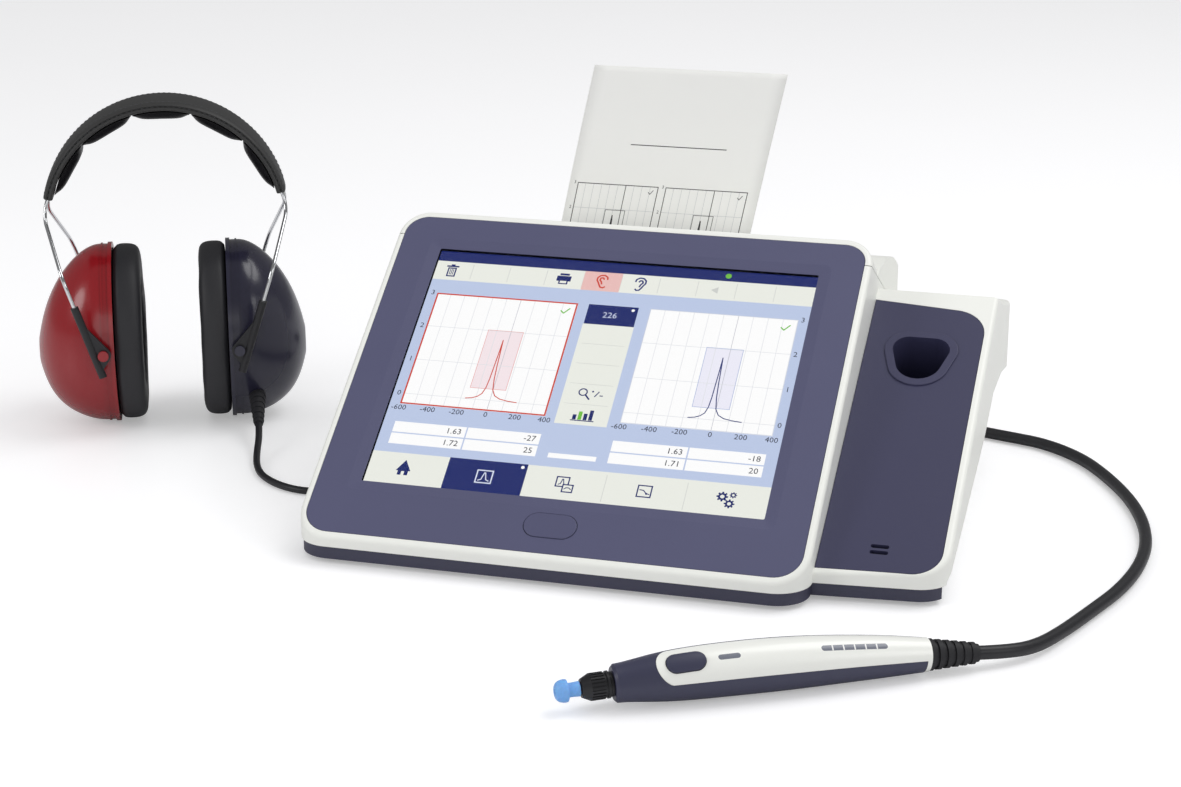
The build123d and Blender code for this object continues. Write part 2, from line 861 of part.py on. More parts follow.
# Printer pieces
core_running = 0.25
with BuildPart() as paper_roll:
    with BuildSketch(Plane.YZ.offset(printer_x - roll_length / 2)):
        with Locations((roll_y, roll_z)):
            Circle(roll_radius)
            Circle(spindle_radius + core_running, mode=Mode.SUBTRACT)
    extrude(amount=roll_length)
report(paper_roll, "paper_roll")

with BuildPart() as paper_spindle:
    with BuildSketch(Plane.YZ.offset(printer_x - spindle_length / 2)):
        with Locations((roll_y, roll_z)):
            Circle(spindle_radius)
    extrude(amount=spindle_length)
report(paper_spindle, "paper_spindle")

shaft_reach = roll_length / 2 + 11.5
gear_radius = 8.0
gear_at = roll_length / 2 + 7.5
gear_width = 3.0
gear_teeth = 18
tooth_depth = 1.2
with BuildPart() as platen_roller:
    with BuildSketch(Plane.YZ.offset(printer_x - platen_length / 2)):
        with Locations((platen_y, platen_z)):
            Circle(platen_radius)
    extrude(amount=platen_length)
    with BuildSketch(Plane.YZ.offset(printer_x - shaft_reach)):
        with Locations((platen_y, platen_z)):
            Circle(shaft_radius)
    extrude(amount=2 * shaft_reach)
    with BuildSketch(Plane.YZ.offset(printer_x + gear_at)):
        with Locations((platen_y, platen_z)):
            Circle(gear_radius)
            with PolarLocations(gear_radius, gear_teeth):
                Rectangle(2 * tooth_depth, tooth_depth, mode=Mode.SUBTRACT)
    extrude(amount=gear_width)
report(platen_roller, "platen_roller")

head_face = 207.3
head_top = 112.0
head_low = 100.0
head_slope = 5.0
chassis_y = 190.0
chassis_thickness = 2.0
head_length = roll_length + 4.0
chassis_width = roll_length + 26.0
with BuildPart() as thermal_head:
    with BuildSketch(Plane.YZ.offset(printer_x - head_length / 2)):
        side_face(
            [
                (chassis_y, head_low),
                (head_face - head_slope, head_low),
                (head_face, head_low + head_slope),
                (head_face, head_top),
                (chassis_y, head_top),
            ]
        )
    extrude(amount=head_length)
    tray_floor_top = foot_height + tray_floor
    with BuildSketch(Plane.XY.offset(tray_floor_top)):
        with Locations((printer_x, chassis_y - chassis_thickness / 2)):
            Rectangle(chassis_width, chassis_thickness)
    extrude(amount=head_top - tray_floor_top)
report(thermal_head, "thermal_head")

gearbox_at = roll_length / 2 + 14.0
gearbox_width = 12.0
gearbox_low = 84.0
gearbox_depth = 24.0
gearbox_round = 1.8
motor_radius = 10.0
motor_length = 22.0
gearbox_middle = chassis_y + gearbox_depth / 2
gearbox_z = (gearbox_low + head_top) / 2
gearbox_foot_x = printer_x + (chassis_width / 2 + gearbox_at) / 2
with BuildPart() as printer_motor:
    with BuildSketch(Plane.YZ.offset(printer_x + gearbox_at - fit_gap)):
        with Locations((gearbox_middle, gearbox_z)):
            RectangleRounded(gearbox_depth, head_top - gearbox_low, gearbox_round)
    extrude(amount=gearbox_width)
    with BuildSketch(Plane.YZ.offset(printer_x + gearbox_at + gearbox_width - seam_gap)):
        with Locations((gearbox_middle, gearbox_z)):
            Circle(motor_radius)
    extrude(amount=motor_length)
    # A foot on the printer's chassis plate
    with BuildSketch(Plane.XZ.offset(-chassis_y)):
        with Locations((gearbox_foot_x, gearbox_z)):
            Rectangle(gearbox_width, motor_radius * 2)
    extrude(amount=-chassis_thickness)
report(printer_motor, "printer_motor")

paper_thickness = 0.15
web_start = (197.4, 72.6)
web_bend = (207.45, 105.5)
web_end = (207.45, 112.0)
with BuildPart() as paper_web:
    with BuildSketch(Plane.YZ.offset(printer_x - roll_length / 2)):
        side_face(
            [
                web_start,
                web_bend,
                web_end,
                (web_end[0] + paper_thickness, web_end[1]),
                (web_bend[0] + paper_thickness, web_bend[1]),
                (web_start[0] + paper_thickness, web_start[1]),
            ]
        )
    extrude(amount=roll_length)
report(paper_web, "paper_web")

# The printed strip stands out of the slit, leaning back and a little to the right
strip_low = 116.0
strip_height = 102.0
strip_lean = 5.5
strip_drift = 20.6
strip_aside = 2.0
strip_foot_x = printer_x - strip_aside
strip_foot_y = slit_y + slit_width / 2 - fit_gap
strip_width = roll_length + 1.0
strip_steps = 6
with BuildPart() as paper_strip:
    for step in range(strip_steps + 1):
        share = step / strip_steps
        middle = strip_foot_x + strip_drift * share
        back = strip_foot_y + strip_lean * share * share
        with BuildSketch(Plane.XY.offset(strip_low + strip_height * share)):
            with Locations((middle, back)):
                Rectangle(strip_width, paper_thickness)
    loft(ruled=True)
report(paper_strip, "paper_strip")

tear_length = roll_length + 6.0
tear_thickness = 0.6
tear_width = 7.0
tear_teeth = 38
tear_tooth = 1.2
tear_y = 213.2
tear_z = 121.64
tear_slope = math.radians(10.3)
tear_plane = Plane(
    origin=(printer_x, tear_y, tear_z),
    x_dir=(1, 0, 0),
    z_dir=(0, math.sin(tear_slope), math.cos(tear_slope)),
)
tear_pitch = tear_length / tear_teeth
with BuildPart() as tear_bar:
    with BuildSketch(tear_plane):
        Rectangle(tear_length, tear_width)
        with Locations((0, tear_width / 2)):
            with GridLocations(tear_pitch, 0, tear_teeth, 1):
                RegularPolygon(tear_tooth, 3, rotation=-90, mode=Mode.SUBTRACT)
    extrude(amount=tear_thickness)
report(tear_bar, "tear_bar")

# Main board, air pump and the tube to the probe's socket
chip_rise = 2.2
board_overhang = 8.0
board_length = board_right - board_left + 2 * board_overhang
board_depth = board_rear - board_front + 2 * board_overhang
board_centre = ((board_left + board_right) / 2, (board_front + board_rear) / 2)
processor_size = 28.0
processor_place = (-60.0, 80.0)
chip_length = 16.0
chip_width = 10.0
chip_places = [(-10.0, 60.0), (-10.0, 100.0)]
header_place = (-90.0, 110.0)
header_length = 24.0
header_width = 12.0
capacitor_radius = 4.0
capacitor_height = 8.8
capacitor_places = [(20.0, 120.0), (20.0, 104.0), (-60.0, 128.0)]
with BuildPart() as main_board:
    with BuildSketch(Plane.XY.offset(board_height)):
        with Locations(board_centre):
            Rectangle(board_length, board_depth)
    extrude(amount=board_thickness)
    with BuildSketch(Plane.XY.offset(board_height + board_thickness)):
        with Locations(processor_place):
            Rectangle(processor_size, processor_size)
        with Locations(*chip_places):
            Rectangle(chip_length, chip_width)
        with Locations(header_place):
            Rectangle(header_width, header_length)
    extrude(amount=chip_rise)
    with BuildSketch(Plane.XY.offset(board_height + board_thickness)):
        with Locations(*capacitor_places):
            Circle(capacitor_radius)
    extrude(amount=capacitor_height)
report(main_board, "main_board")

probe_socket_x = 56.0
headset_socket_x = -60.0
inlet_x = 0.0
usb_x = -28.0
pump_radius = 13.0
pump_length = 52.0
pump_y = 246.0
pump_x = 96.0
nozzle_radius = 2.2
pump_z = foot_height + tray_floor + pump_radius
with BuildPart() as air_pump:
    with BuildSketch(Plane.XZ.offset(-(pump_y - pump_length))):
        with Locations((pump_x, pump_z)):
            Circle(pump_radius)
    extrude(amount=-pump_length)
    with BuildSketch(Plane.YZ.offset(pump_x - pump_radius - nozzle_radius * 2)):
        with Locations((pump_y - pump_radius / 2, pump_z)):
            Circle(nozzle_radius)
    extrude(amount=pump_radius)
report(air_pump, "air_pump")

socket_flange_radius = 12.0
socket_flange = 2.0
socket_inside = 12.0
plate_front = rear_y - plate_thickness
tube_radius = 2.0
tube_bend = 5.0
tube_start = pump_x - pump_radius - nozzle_radius * 2
tube_y = pump_y - pump_radius / 2
with BuildPart() as pressure_tube:
    with BuildLine():
        FilletPolyline(
            (tube_start, tube_y, pump_z),
            (probe_socket_x, tube_y, pump_z),
            (probe_socket_x, tube_y, socket_height),
            (probe_socket_x, plate_front - socket_inside, socket_height),
            radius=tube_bend,
        )
    with BuildSketch(Plane.YZ.offset(tube_start)):
        with Locations((tube_y, pump_z)):
            Circle(tube_radius)
    sweep()
report(pressure_tube, "pressure_tube")

# Rear connectors: plate, inlets, sockets and plugs, seen from behind
inlet_width = 24.0
inlet_height = 17.0
inlet_wall = 1.6
inlet_depth = 16.0
inlet_flange = 2.6
usb_width = 12.0
usb_height = 10.6
usb_wall = 0.8
socket_body_radius = 8.0
socket_bore_radius = 6.0
jack_flange_radius = 8.0
jack_body_radius = 5.5
jack_bore_radius = 3.2
plug_fit = 0.05
plug_ribs = 4
plug_round_share = 1 / 6
plug_rib_rise = 0.25
plug_rib_width = 0.1
relief_root_share = 2.0
relief_end_share = 1.3


def rear_sketch_plane(out):
    """A plane across the rear wall, a distance out behind it."""
    return Plane.XZ.offset(-rear_y - out)


with BuildPart() as connector_plate:
    with BuildSketch(rear_sketch_plane(0)):
        with Locations((0, socket_height)):
            Rectangle(plate_width, plate_height)
        with Locations((inlet_x, socket_height)):
            Rectangle(inlet_width, inlet_height, mode=Mode.SUBTRACT)
        with Locations((usb_x, socket_height)):
            Rectangle(usb_width, usb_height, mode=Mode.SUBTRACT)
        with Locations((probe_socket_x, socket_height)):
            Circle(socket_body_radius, mode=Mode.SUBTRACT)
        with Locations((headset_socket_x, socket_height)):
            Circle(jack_body_radius, mode=Mode.SUBTRACT)
    extrude(amount=plate_thickness)
report(connector_plate, "connector_plate")

inlet_pins = [(-7.0, -1.5), (7.0, -1.5), (0.0, 2.5)]
pin_width = 2.0
pin_height = 4.0
with BuildPart() as power_inlet:
    with BuildSketch(rear_sketch_plane(0)):
        with Locations((inlet_x, socket_height)):
            Rectangle(inlet_width, inlet_height)
    extrude(amount=inlet_depth)
    with BuildSketch(rear_sketch_plane(inlet_wall)):
        with Locations((inlet_x, socket_height)):
            Rectangle(inlet_width + 2 * inlet_flange, inlet_height + 2 * inlet_flange)
    extrude(amount=inlet_wall)
    with BuildSketch(rear_sketch_plane(inlet_wall)):
        with Locations((inlet_x, socket_height)):
            Rectangle(inlet_width - 2 * inlet_wall, inlet_height - 2 * inlet_wall)
    extrude(amount=inlet_depth, mode=Mode.SUBTRACT)
    for across, up in inlet_pins:
        with BuildSketch(rear_sketch_plane(0)):
            with Locations((inlet_x + across, socket_height + up)):
                Rectangle(pin_width, pin_height)
        extrude(amount=inlet_depth)
report(power_inlet, "power_inlet")

with BuildPart() as usb_port:
    with BuildSketch(rear_sketch_plane(0)):
        with Locations((usb_x, socket_height)):
            Rectangle(usb_width, usb_height)
            Rectangle(usb_width - 2 * usb_wall, usb_height - 2 * usb_wall, mode=Mode.SUBTRACT)
    extrude(amount=inlet_depth)
    with BuildSketch(rear_sketch_plane(-inlet_depth)):
        with Locations((usb_x, socket_height)):
            Rectangle(usb_width, usb_height)
    extrude(amount=usb_wall)
    with BuildSketch(rear_sketch_plane(-inlet_depth / 4)):
        with Locations((usb_x, socket_height - usb_height / 4)):
            Rectangle(usb_width / 2, usb_height / 5)
    extrude(amount=inlet_depth * 3 / 4)
report(usb_port, "usb_port")


def make_socket(across, flange, body, bore, inside):
    """A round socket in the plate."""
    with BuildPart() as socket:
        with BuildSketch(rear_sketch_plane(socket_flange)):
            with Locations((across, socket_height)):
                Circle(flange)
        extrude(amount=socket_flange)
        with BuildSketch(rear_sketch_plane(0)):
            with Locations((across, socket_height)):
                Circle(body)
        extrude(amount=inside)
        with BuildSketch(rear_sketch_plane(socket_flange)):
            with Locations((across, socket_height)):
                Circle(bore)
        extrude(amount=inside, mode=Mode.SUBTRACT)
    return socket


def make_plug(across, pin, body, body_length, relief_start, relief_end, relief_length, inside):
    """A round plug in its socket, with ribs on its strain relief."""
    start = socket_flange
    with BuildPart() as plug:
        with BuildSketch(rear_sketch_plane(start)):
            with Locations((across, socket_height)):
                Circle(pin)
        extrude(amount=inside - plug_fit)
        with BuildSketch(rear_sketch_plane(start + body_length)):
            with Locations((across, socket_height)):
                Circle(body)
        extrude(amount=body_length)
        rear_rim = plug.faces().sort_by(Axis.Y)[-1].edges()
        fillet(rear_rim, radius=plug_round_share * body)
        with BuildSketch(rear_sketch_plane(start + body_length)):
            with Locations((across, socket_height)):
                Circle(relief_start)
        with BuildSketch(rear_sketch_plane(start + body_length + relief_length)):
            with Locations((across, socket_height)):
                Circle(relief_end)
        loft()
        for rib in range(1, plug_ribs + 1):
            share = rib / (plug_ribs + 1)
            radius = relief_start + (relief_end - relief_start) * share + plug_rib_rise * relief_end
            with BuildSketch(rear_sketch_plane(start + body_length + relief_length * share)):
                with Locations((across, socket_height)):
                    Circle(radius)
            extrude(amount=plug_rib_width * relief_length)
    return plug


socket_reach = plate_thickness + socket_inside
probe_plug_body = 9.5
probe_plug_length = 24.0
probe_plug_relief = 18.0
headset_plug_body = 6.0
headset_plug_length = 22.0
headset_plug_relief = 14.0
probe_cord_radius = 3.3
headset_cord_radius = 2.0
plug_insert = 10.0

probe_socket = make_socket(
    probe_socket_x, socket_flange_radius, socket_body_radius, socket_bore_radius, socket_reach
)
report(probe_socket, "probe_socket")
headset_socket = make_socket(
    headset_socket_x, jack_flange_radius, jack_body_radius, jack_bore_radius, socket_reach
)
report(headset_socket, "headset_socket")
probe_plug = make_plug(
    probe_socket_x,
    socket_bore_radius - plug_fit,
    probe_plug_body,
    probe_plug_length,
    probe_cord_radius * relief_root_share,
    probe_cord_radius * relief_end_share,
    probe_plug_relief,
    plug_insert,
)
report(probe_plug, "probe_plug")
headset_plug = make_plug(
    headset_socket_x,
    jack_bore_radius - plug_fit,
    headset_plug_body,
    headset_plug_length,
    headset_cord_radius * relief_root_share,
    headset_cord_radius * relief_end_share,
    headset_plug_relief,
    plug_insert,
)
report(headset_plug, "headset_plug")
probe_plug_end = rear_y + socket_flange + probe_plug_length + probe_plug_relief
headset_plug_end = rear_y + socket_flange + headset_plug_length + headset_plug_relief

# Hand probe, lying before the console: a gentle arch, rolled so that its button faces forward
probe_crest_x = 122.0
probe_crest_y = -111.0
probe_crest = 85.0
probe_heading = math.radians(29.8)
probe_roll = math.radians(38.0)
probe_bend_radius = 1258.0
probe_widest = 12.2
probe_height = probe_widest + 0.1


def probe_frame(along):
    """Place on the probe's middle line, its direction there, and where the button's side faces."""
    lean = (along - probe_crest) / probe_bend_radius
    run = probe_bend_radius * math.sin(lean)
    across, up = math.cos(probe_heading), math.sin(probe_heading)
    place = Vector(
        probe_crest_x + run * across,
        probe_crest_y + run * up,
        probe_height - probe_bend_radius * (1 - math.cos(lean)),
    )
    ahead = Vector(across * math.cos(lean), up * math.cos(lean), -math.sin(lean))
    aside = Vector(-up, across, 0)
    face = ahead.cross(aside) * math.cos(probe_roll) - aside * math.sin(probe_roll)
    return place, ahead, face


def probe_plane(along):
    """A plane square across the probe, with its second axis to the button's side."""
    place, ahead, face = probe_frame(along)
    return Plane(origin=place, x_dir=face.cross(ahead), z_dir=ahead)


def probe_top_plane(along, lift):
    """A plane over the probe on the button's side, with its first axis along it."""
    place, ahead, face = probe_frame(along)
    return Plane(origin=place + face * lift, x_dir=ahead, z_dir=face)


tip_length = 11.6
collar_length = 14.5
body_start = tip_length + collar_length
body_end = 174.0
body_stations = [27.6, 45.9, 64.2, 82.5, 100.8, 119.1, 137.4, 155.7, 174.0]
body_radii = [8.7, 10.7, 11.9, 12.2, 12.15, 11.6, 10.65, 9.45, 7.9]
shell_wall = 1.8
nose_round = 1.2


def probe_body(grow):
    """The probe's body, or its hollow where it is drawn in."""
    with BuildPart() as body:
        for along, radius in zip(body_stations, body_radii):
            with BuildSketch(probe_plane(along)):
                Circle(radius + grow)
        loft()
    return body.part


shell_start = 45.0
shell_front_radius = 9.0
shell_seam = 0.15
shell_level_share = 0.64
ring_start = 171.8


def shell_zone(gap):
    """The part of the body that the top shell covers: a strip with a round front, and a ring."""
    with BuildPart() as zone:
        for along, radius in zip(body_stations, body_radii):
            with BuildSketch(probe_plane(along)):
                with Locations((0, radius * shell_level_share - gap + probe_widest)):
                    Rectangle(4 * probe_widest, 2 * probe_widest)
        loft()
        with BuildSketch(probe_top_plane(shell_start, -probe_widest)):
            with Locations(((shell_front_radius - shell_start) / 2, 0)):
                Rectangle(shell_start + shell_front_radius, 4 * probe_widest)
            with Locations((shell_front_radius, 0)):
                Circle(shell_front_radius + gap, mode=Mode.SUBTRACT)
        extrude(amount=4 * probe_widest, mode=Mode.SUBTRACT)
        with BuildSketch(probe_plane(ring_start - gap)):
            Circle(2 * probe_widest)
        extrude(amount=2 * probe_widest)
    return zone.part


key_at = 58.2
key_length = 18.0
key_width = 9.0
key_gap = 0.3
key_stand = 0.8
key_travel = 0.6
light_at = 77.9
light_length = 10.3
light_width = 2.6
led_at = 136.4
led_length = 32.0
led_width = 2.8
insert_depth = 4.0
probe_outer = probe_body(0)
probe_inner = probe_body(-shell_wall)
shell_cover = shell_zone(0)
shell_cover_room = shell_zone(shell_seam)

with BuildPart() as probe_lower_shell:
    add(probe_outer)
    add(probe_inner, mode=Mode.SUBTRACT)
    add(shell_cover_room, mode=Mode.SUBTRACT)
    with BuildSketch(probe_plane(body_start + fit_gap)):
        Circle(body_radii[0] - nose_round)
    with BuildSketch(probe_plane(body_stations[0])):
        Circle(body_radii[0])
    loft()
    with BuildSketch(probe_plane(body_stations[0])):
        Circle(body_radii[0] - shell_wall / 2)
    extrude(amount=shell_wall - nose_round)
report(probe_lower_shell, "probe_lower_shell")

with BuildPart() as probe_upper_shell:
    add(probe_outer)
    add(probe_inner, mode=Mode.SUBTRACT)
    add(shell_cover, mode=Mode.INTERSECT)
    with BuildSketch(probe_plane(body_end)):
        Circle(body_radii[-1] - shell_wall / 2)
    extrude(amount=-shell_wall)
    with BuildSketch(probe_top_plane(key_at, shell_wall)):
        SlotOverall(key_length + 2 * key_gap, key_width + 2 * key_gap)
    extrude(amount=2 * probe_widest, mode=Mode.SUBTRACT)
    with BuildSketch(probe_top_plane(light_at, shell_wall)):
        SlotOverall(light_length, light_width)
    extrude(amount=2 * probe_widest, mode=Mode.SUBTRACT)
    with BuildSketch(probe_top_plane(led_at, shell_wall)):
        SlotOverall(led_length, led_width)
    extrude(amount=2 * probe_widest, mode=Mode.SUBTRACT)
report(probe_upper_shell, "probe_upper_shell")

key_bottom = 4.6
probe_raised = probe_body(key_stand)
with BuildPart() as probe_button:
    with BuildSketch(probe_top_plane(key_at, key_bottom)):
        SlotOverall(key_length, key_width)
    extrude(amount=2 * probe_widest)
    add(probe_raised, mode=Mode.INTERSECT)
report(probe_button, "probe_button")

with BuildPart() as probe_status_light:
    with BuildSketch(probe_top_plane(light_at, probe_widest - insert_depth)):
        SlotOverall(light_length, light_width)
    extrude(amount=2 * probe_widest)
    add(probe_outer, mode=Mode.INTERSECT)

with BuildPart() as probe_led_bar:
    with BuildSketch(probe_top_plane(led_at, probe_widest - 2 * insert_depth)):
        SlotOverall(led_length, led_width)
    extrude(amount=2 * probe_widest)
    add(probe_outer, mode=Mode.INTERSECT)

with BuildPart() as probe_lights:
    add(probe_status_light.part)
    add(probe_led_bar.part)
report(probe_lights, "probe_lights")

board_start = 40.0
probe_board_length = 112.0
probe_board_width = 9.0
with BuildPart() as probe_board:
    with BuildSketch(probe_top_plane(board_start + probe_board_length / 2, 0)):
        Rectangle(probe_board_length, probe_board_width)
    extrude(amount=board_thickness)
    with BuildSketch(probe_top_plane(key_at, board_thickness)):
        Rectangle(switch_size, switch_size)
    extrude(amount=key_bottom - board_thickness - key_travel - fit_gap)
report(probe_board, "probe_board")


def nose_plane(along):
    """A plane square across the nose, whose pieces share one straight line."""
    return probe_plane(body_start).offset(along - body_start)


core_radius = 2.6
core_flange_radius = 5.6
core_flange = 1.2
core_bore = 0.9
with BuildPart() as probe_tip_core:
    with BuildSketch(nose_plane(body_start)):
        Circle(core_flange_radius)
    extrude(amount=-core_flange)
    with BuildSketch(nose_plane(body_start)):
        Circle(core_radius)
    extrude(amount=fit_gap)
    with BuildSketch(nose_plane(tip_length / 4)):
        Circle(core_radius)
    extrude(amount=body_start - tip_length / 4)
    with BuildSketch(nose_plane(0)):
        Circle(core_bore)
    extrude(amount=body_start, mode=Mode.SUBTRACT)
report(probe_tip_core, "probe_tip_core")

collar_radius = 6.2
collar_nose_radius = 4.2
collar_cone = 4.4
collar_knurl = 6.2
collar_neck = 1.2
collar_neck_depth = 0.6
collar_grooves = 24
groove_width = 0.7
groove_depth = 0.45
collar_running = 0.08
with BuildPart() as probe_collar:
    with BuildSketch(nose_plane(tip_length + fit_gap)):
        Circle(collar_nose_radius)
    with BuildSketch(nose_plane(tip_length + collar_cone)):
        Circle(collar_radius)
    loft()
    with BuildSketch(nose_plane(tip_length + collar_cone)):
        Circle(collar_radius)
        with PolarLocations(collar_radius, collar_grooves):
            Rectangle(2 * groove_depth, groove_width, mode=Mode.SUBTRACT)
    extrude(amount=collar_knurl)
    with BuildSketch(nose_plane(tip_length + collar_cone + collar_knurl)):
        Circle(collar_radius - collar_neck_depth)
    extrude(amount=collar_neck)
    with BuildSketch(nose_plane(tip_length + collar_cone + collar_knurl + collar_neck)):
        Circle(collar_radius)
    extrude(amount=collar_length - collar_cone - collar_knurl - collar_neck - core_flange - fit_gap)
    with BuildSketch(nose_plane(tip_length)):
        Circle(core_radius + collar_running)
    extrude(amount=collar_length, mode=Mode.SUBTRACT)
report(probe_collar, "probe_collar")

tip_stations = [0.0, 1.6, 4.4, 7.0, 11.3]
tip_radii = [2.9, 4.4, 5.25, 4.6, 3.5]
tip_fit = 0.06
tip_bore_radius = 1.35
with BuildPart() as ear_tip:
    for along, radius in zip(tip_stations, tip_radii):
        with BuildSketch(nose_plane(along)):
            Circle(radius)
    loft()
    with BuildSketch(nose_plane(tip_length / 4 - fit_gap)):
        Circle(core_radius + tip_fit)
    extrude(amount=tip_length, mode=Mode.SUBTRACT)
    with BuildSketch(nose_plane(-fit_gap)):
        Circle(tip_bore_radius)
    extrude(amount=tip_length, mode=Mode.SUBTRACT)
report(ear_tip, "ear_tip")

relief_length = 25.0
relief_start_radius = 6.4
relief_end_radius = 4.2
relief_ribs = 6
relief_rib_width = 2.2
rib_rise = 1.0


def make_relief(start, length, first, last, ribs, rib_width, rise):
    """A tapered strain relief with rings."""
    with BuildPart() as relief:
        with BuildSketch(start):
            Circle(first)
        with BuildSketch(start.offset(length)):
            Circle(last)
        loft()
        for rib in range(ribs):
            share = rib / ribs
            with BuildSketch(start.offset(length * share)):
                Circle(first + (last - first) * share + rise * (1 - share / 2))
            extrude(amount=rib_width)
    return relief


probe_strain_relief = make_relief(
    probe_plane(body_end),
    relief_length,
    relief_start_radius,
    relief_end_radius,
    relief_ribs,
    relief_rib_width,
    rib_rise,
)
report(probe_strain_relief, "probe_strain_relief")

# Headset, standing on its two cups beside the console
headset_x = -290.0
headset_y = 187.0
headset_yaw = math.radians(24.0)
head_side = (math.cos(headset_yaw), math.sin(headset_yaw), 0)
head_front = (math.sin(headset_yaw), -math.cos(headset_yaw), 0)


def head_point(side, front, up):
    """A point of the headset, from its own three directions."""
    return (
        headset_x + side * head_side[0] + front * head_front[0],
        headset_y + side * head_side[1] + front * head_front[1],
        up,
    )


def head_front_plane(front):
    """A plane across the headset, seen from its front."""
    return Plane(origin=head_point(0, front, 0), x_dir=head_side, z_dir=head_front)


def cup_plane(side, at):
    """A plane square to the cup's axis, at a distance from the headset's middle."""
    back = (-head_front[0], -head_front[1], 0)
    return Plane(origin=head_point(side * at, 0, 0), x_dir=back, z_dir=head_side)


cup_inner = 33.0
cup_rim_end = 39.5
cup_depth_half = 42.0
cup_height_half = 54.0
dome_at = [39.5, 46.0, 56.0, 66.0, 73.5, 78.2]
dome_depths = [41.0, 40.3, 36.6, 29.2, 19.0, 6.0]
dome_heights = [53.0, 52.1, 46.9, 37.2, 24.0, 8.0]
dome_middles = [54.0, 53.6, 51.8, 49.0, 46.6, 45.0]
cup_shell = 2.2
flange_width = 2.4
side_drawn_in = 1.0
ridge_rise = 0.6
ridge_width = 1.0
pivot_at = 39.0
pivot_up = 53.0
pivot_radius = 2.0
pivot_head_radius = 3.1
pivot_head = 1.6
eye_gap = 0.4
eye_thickness = 2.2
eye_in = 44.9
pivot_running = 0.08


def make_cup(side):
    """One hollow cup with the two pins that its yoke turns on."""
    side_depth = cup_depth_half - side_drawn_in
    side_height = cup_height_half - side_drawn_in
    with BuildPart() as hollow:
        with BuildSketch(cup_plane(side, cup_inner)):
            with Locations((0, cup_height_half)):
                Ellipse(side_depth - cup_shell, side_height - cup_shell)
        extrude(amount=side * (cup_rim_end - cup_inner))
        for at, middle, deep, high in zip(dome_at, dome_middles, dome_depths, dome_heights):
            with BuildSketch(cup_plane(side, at - cup_shell * (at > cup_rim_end))):
                with Locations((0, middle)):
                    Ellipse(deep - cup_shell, high - cup_shell)
        loft()
    with BuildPart() as cup:
        # A flange beside the cushion, the cup's side, and a raised line where the dome starts
        with BuildSketch(cup_plane(side, cup_inner)):
            with Locations((0, cup_height_half)):
                Ellipse(cup_depth_half, cup_height_half)
        extrude(amount=side * flange_width)
        with BuildSketch(cup_plane(side, cup_inner)):
            with Locations((0, cup_height_half)):
                Ellipse(side_depth, side_height)
        extrude(amount=side * (cup_rim_end - cup_inner))
        with BuildSketch(cup_plane(side, cup_rim_end)):
            with Locations((0, cup_height_half)):
                Ellipse(side_depth + ridge_rise, side_height + ridge_rise)
        extrude(amount=-side * ridge_width)
        for at, middle, deep, high in zip(dome_at, dome_middles, dome_depths, dome_heights):
            with BuildSketch(cup_plane(side, at)):
                with Locations((0, middle)):
                    Ellipse(deep, high)
        loft()
        add(hollow.part, mode=Mode.SUBTRACT)
        for face in (1, -1):
            with BuildSketch(head_front_plane(face * (cup_depth_half - cup_shell))):
                with Locations((side * pivot_at, pivot_up)):
                    Circle(pivot_radius)
            extrude(amount=face * (eye_in + eye_thickness + eye_gap - cup_depth_half + cup_shell))
            with BuildSketch(head_front_plane(face * (cup_depth_half - cup_shell))):
                with Locations((side * pivot_at, pivot_up)):
                    Circle(pivot_head_radius)
            extrude(amount=face * (eye_in - eye_gap - cup_depth_half + cup_shell))
            with BuildSketch(head_front_plane(face * (eye_in + eye_thickness + eye_gap))):
                with Locations((side * pivot_at, pivot_up)):
                    Circle(pivot_head_radius)
            extrude(amount=face * pivot_head)
    return cup


cushion_at = [33.0, 31.2, 25.0, 19.8, 17.6, 16.8]
cushion_depths = [38.4, 40.9, 41.6, 40.6, 38.0, 34.4]
cushion_heights = [50.4, 52.6, 53.2, 52.3, 49.8, 46.0]
ear_depth_half = 20.0
ear_height_half = 30.0
ear_crown = 3.0
baffle_depth_half = cup_depth_half - side_drawn_in - cup_shell - fit_gap
baffle_height_half = cup_height_half - side_drawn_in - cup_shell - fit_gap
baffle_thickness = 2.0
driver_radius = 20.0
driver_depth = 12.0


def make_cushion(side):
    """One ear cushion, with a crown and drawn-in sides, round the ear's opening."""
    with BuildPart() as cushion:
        for at, deep, high in zip(cushion_at, cushion_depths, cushion_heights):
            with BuildSketch(cup_plane(side, at)):
                with Locations((0, cup_height_half)):
                    Ellipse(deep, high)
        loft()
        middle = (cushion_at[0] + cushion_at[-1]) / 2
        for near, far in ((cushion_at[0], middle), (middle, cushion_at[-1])):
            near_grow = ear_crown * (near != middle)
            far_grow = ear_crown * (far != middle)
            with BuildSketch(cup_plane(side, near)):
                with Locations((0, cup_height_half)):
                    Ellipse(ear_depth_half + near_grow, ear_height_half + near_grow)
            with BuildSketch(cup_plane(side, far)):
                with Locations((0, cup_height_half)):
                    Ellipse(ear_depth_half + far_grow, ear_height_half + far_grow)
            loft(mode=Mode.SUBTRACT)
    return cushion


def make_driver(side):
    """The plate behind the cushion with its sound driver."""
    with BuildPart() as driver:
        with BuildSketch(cup_plane(side, cup_inner)):
            with Locations((0, cup_height_half)):
                Ellipse(baffle_depth_half, baffle_height_half)
        extrude(amount=side * baffle_thickness)
        with BuildSketch(cup_plane(side, cup_inner + baffle_thickness)):
            with Locations((0, cup_height_half)):
                Circle(driver_radius)
        extrude(amount=side * driver_depth)
    return driver


